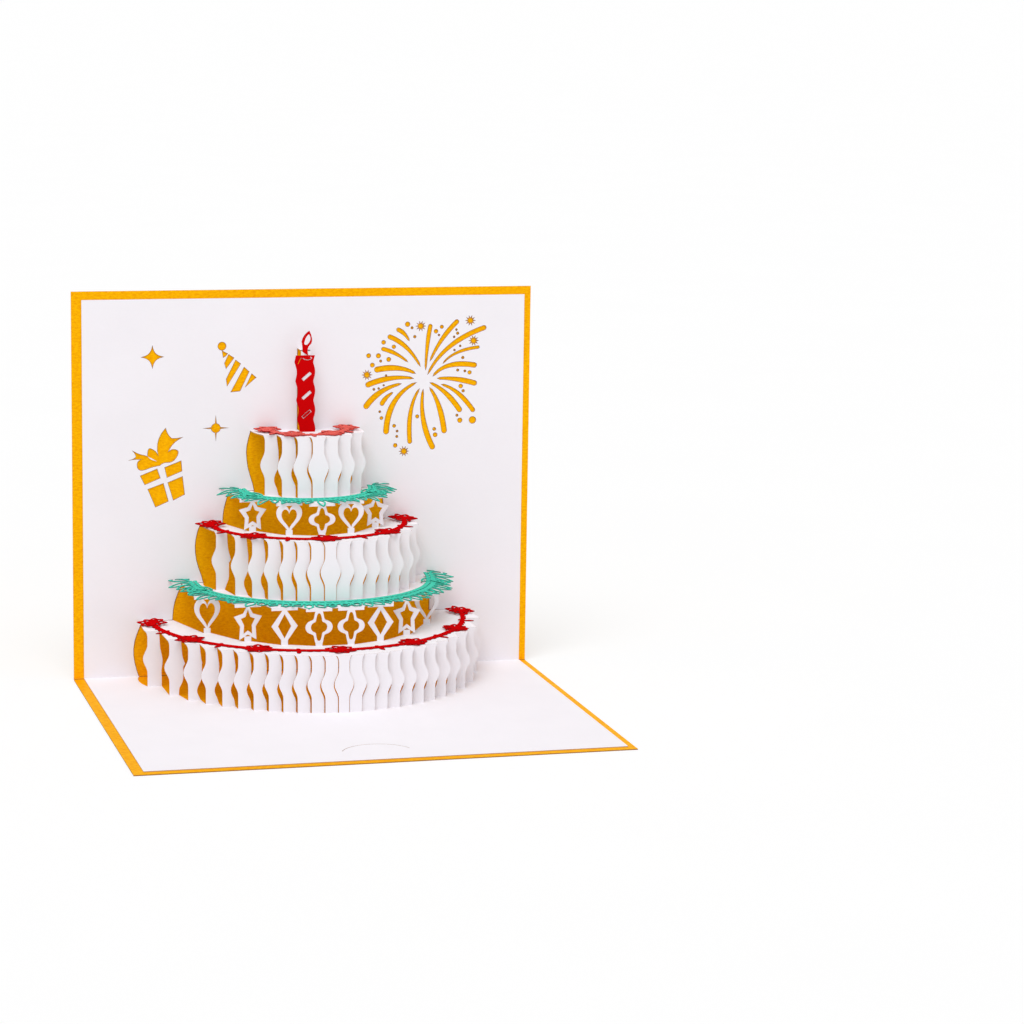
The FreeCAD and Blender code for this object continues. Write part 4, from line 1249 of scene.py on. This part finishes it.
class CARD_OT_candle(bpy.types.Operator):
    """Build the flat red candle with its slanting cuts and pierced flame"""
    bl_idname = "card.candle"
    bl_label = "Candle"

    def execute(self, context):
        paper = Paper(CANDLE_THICKNESS)
        foot = STOREY_HEIGHTS[-1]
        steps = 12 * CANDLE_TWISTS
        left = []
        right = []
        for k in range(steps + 1):
            share = k / steps
            swing = CANDLE_WAVE * abs(math.sin(math.pi * (CANDLE_TWISTS * share + 0.35))) ** 1.3
            for side, low, high in zip((left, right), CANDLE_FOOT, CANDLE_TOP):
                x = low + share * (high - low) + swing + CANDLE_SHIFT
                side.append((x, foot + CANDLE_HEIGHT * share))
        holes = [self.dash(foot, k, (1.0, 1.0)) for k in range(3)]
        holes += [path(WAX_LEFT, WAX_WIDTH), path(WAX_RIGHT, WAX_WIDTH)]
        flame = ring(joined(FLAME), joined(FLAME_EYE))
        depth = STRUT_REACH + CANDLE_THICKNESS
        paper.stand([ring(right + left[::-1], *holes), flame], depth)
        paper.stand([ring(self.dash(foot, 0, SCRAP_SHARES))], depth - SCRAP_STEP)
        paper.piece("candle_paper", red_materials(context.scene.trims), ["candle"])
        return {"FINISHED"}

    def dash(self, foot, k, shares):
        centre = (STRUT_CENTRE + DASH_SHIFT, foot + DASH_FIRST + k * DASH_PITCH)
        a = shares[0] * DASH_LENGTH / 2
        b = shares[1] * DASH_WIDTH / 2
        return turned(box(-a, a, -b, b), centre, DASH_ANGLE)


class CARD_OT_garlands(bpy.types.Operator):
    """Build the three red garlands of strips, leaves and spurs"""
    bl_idname = "card.garlands"
    bl_label = "Garlands"

    def execute(self, context):
        trims = context.scene.trims
        least = base_face(context.scene) + CUT_GAP
        for storey, (name, size) in GARLANDS.items():
            paper = Paper(TRIM_THICKNESS)
            length = trims.leaf_length / MM * GARLAND_LEAF_SHARES[storey]
            strip, leaves = garland_parts(size, length, trims.stroke / MM)
            top = STOREY_HEIGHTS[storey] + paper.thickness
            lay_trim(paper, strip, leaves, top, garland_lift(size, GARLAND_LEANS[storey]), least)
            # The uppermost garland gets the painted sheen tone
            materials = upper_red_painted_sheen_materials if name == "upper_garland" else red_materials
            paper.piece(name + "_paper", materials(trims), [name])
        return {"FINISHED"}


class CARD_OT_laces(bpy.types.Operator):
    """Build the two turquoise laces of looped petals"""
    bl_idname = "card.laces"
    bl_label = "Laces"

    def execute(self, context):
        trims = context.scene.trims
        least = base_face(context.scene) + CUT_GAP
        stroke = LACE_STROKE_SHARE * trims.stroke / MM
        tone = trims.turquoise
        materials = paper_materials("turquoise_paper", tone, 0.78, darker(tone, 0.5), 0.44)
        for storey, (name, size) in LACES.items():
            paper = Paper(TRIM_THICKNESS)
            shift = LACE_SHIFTS[storey]
            band, petals = lace_parts(storey, size, trims.petal_length / MM, stroke)
            top = STOREY_HEIGHTS[storey] + paper.thickness
            lay_trim(paper, band, petals, top, lace_lift(storey, size, shift), least, shift)
            paper.piece(name + "_paper", materials, [name])
        return {"FINISHED"}


WHITE = (1.0, 1.0, 1.0, 1.0)
FLOOR_REACH = 30.0
WINDOW_PLACE = (-0.4, -0.9, 1.6)
WINDOW_SPREAD = 40
CAMERA_TARGET = (83.88, 75.0, 60.3)
CAMERA_DISTANCE = 1275.3
CAMERA_YAW = 15.52
CAMERA_PITCH = 9.81
CAMERA_ROLL = 0.88
CAMERA_SENSOR = 36.0
CAMERA_CLIP = (0.05, 50.0)


class CARD_OT_stage(bpy.types.Operator):
    """Set up the white floor, the soft studio lights and the camera"""
    bl_idname = "card.stage"
    bl_label = "Stage"

    def execute(self, context):
        settings = context.scene.stage
        context.scene.view_settings.view_transform = "Standard"
        self.floor()
        self.world(context.scene, settings.world_strength)
        self.window(settings.sun_strength)
        self.camera(context.scene, settings.lens)
        return {"FINISHED"}

    def backdrop_share(self, tree, whole):
        """The share of plain white for the rays that see the backdrop from the camera."""
        rays = tree.node("ShaderNodeLightPath").outputs
        seen = Value(tree, rays["Is Camera Ray"]) + Value(tree, rays["Is Glossy Ray"])
        return (seen + Value(tree, rays["Is Transmission Ray"])) * whole

    def floor(self):
        tree = ShaderTree(bpy.data.materials.new("stage_floor"))
        cloud = tree.noise(0.01, 1.0)
        tone = tree.blend(cloud, (0.94, 0.94, 0.94), (0.96, 0.96, 0.96))
        lit = tree.surface(tone, 0.9 - cloud * 0.02, cloud, 0.0, 0.1)
        white = tree.node("ShaderNodeEmission", sockets={"Color": WHITE, "Strength": 1.0})
        mesh = bpy.data.meshes.new("stage_floor")
        corners = box(-FLOOR_REACH, FLOOR_REACH, -FLOOR_REACH, FLOOR_REACH)
        mesh.from_pydata([(x, y, 0) for x, y in corners], [], [(0, 1, 2, 3)])
        share = self.backdrop_share(tree, 0.5)
        mesh.materials.append(tree.finish(tree.mixed(share, lit, white.outputs[0])))
        made = placed("stage_floor", mesh)

    def world(self, scene, strength):
        scene.world = bpy.data.worlds.new("room")
        tree = ShaderTree(scene.world)
        room, seen = (
            tree.node("ShaderNodeBackground", sockets={"Color": WHITE, "Strength": s}).outputs[0]
            for s in (strength, 1.0))
        mixed = tree.mixed(self.backdrop_share(tree, 1.0), room, seen)
        tree.finish(mixed, "ShaderNodeOutputWorld")

    def window(self, strength):
        data = bpy.data.lights.new("window_light", "SUN")
        data.energy = strength
        data.angle = math.radians(WINDOW_SPREAD)
        lamp = placed("window_light", data)
        lamp.location = WINDOW_PLACE
        lamp.rotation_euler = (-Vector(WINDOW_PLACE)).to_track_quat("-Z", "Y").to_euler()

    def camera(self, scene, lens):
        data = bpy.data.cameras.new("camera")
        data.sensor_width = CAMERA_SENSOR
        data.lens = lens
        data.clip_start, data.clip_end = CAMERA_CLIP
        turn = Matrix.Identity(4)
        for angle, axis in ((-CAMERA_YAW, "Z"), (90 - CAMERA_PITCH, "X"), (CAMERA_ROLL, "Z")):
            turn = turn @ Matrix.Rotation(math.radians(angle), 4, axis)
        forward = turn @ Vector((0, 0, -1))
        place = (Vector(CAMERA_TARGET) - forward * CAMERA_DISTANCE) * MM
        scene.camera = placed("camera", data)
        scene.camera.matrix_world = Matrix.Translation(place) @ turn


class CARD_PT_panel(bpy.types.Panel):
    """The card's pieces in the sidebar"""
    bl_idname = "CARD_PT_panel"
    bl_label = "Pop up card"
    bl_space_type = "VIEW_3D"
    bl_region_type = "UI"
    bl_category = "Card"

    def draw(self, context):
        for group in SETTINGS:
            settings = getattr(context.scene, group)
            area = self.layout.box()
            for name in settings.__annotations__:
                area.prop(settings, name)
        for operator in OPERATORS:
            self.layout.operator(operator.bl_idname)


SETTINGS = {
    "card": CardSettings, "cake": CakeSettings, "trims": TrimSettings, "stage": StageSettings}
OPERATORS = (
    CARD_OT_cover, CARD_OT_sheet, CARD_OT_candle, CARD_OT_garlands, CARD_OT_laces, CARD_OT_stage)


def register():
    for name, group in SETTINGS.items():
        bpy.utils.register_class(group)
        setattr(bpy.types.Scene, name, PointerProperty(type=group))
    for made in OPERATORS + (CARD_PT_panel,):
        bpy.utils.register_class(made)


def unregister():
    for made in reversed(OPERATORS + (CARD_PT_panel,)):
        bpy.utils.unregister_class(made)
    for name, group in SETTINGS.items():
        delattr(bpy.types.Scene, name)
        bpy.utils.unregister_class(group)


def main():
    register()
    bpy.ops.card.cover()
    bpy.ops.card.sheet()
    bpy.ops.card.candle()
    bpy.ops.card.garlands()
    bpy.ops.card.laces()
    bpy.ops.card.stage()


if __name__ == "__main__":
    main()
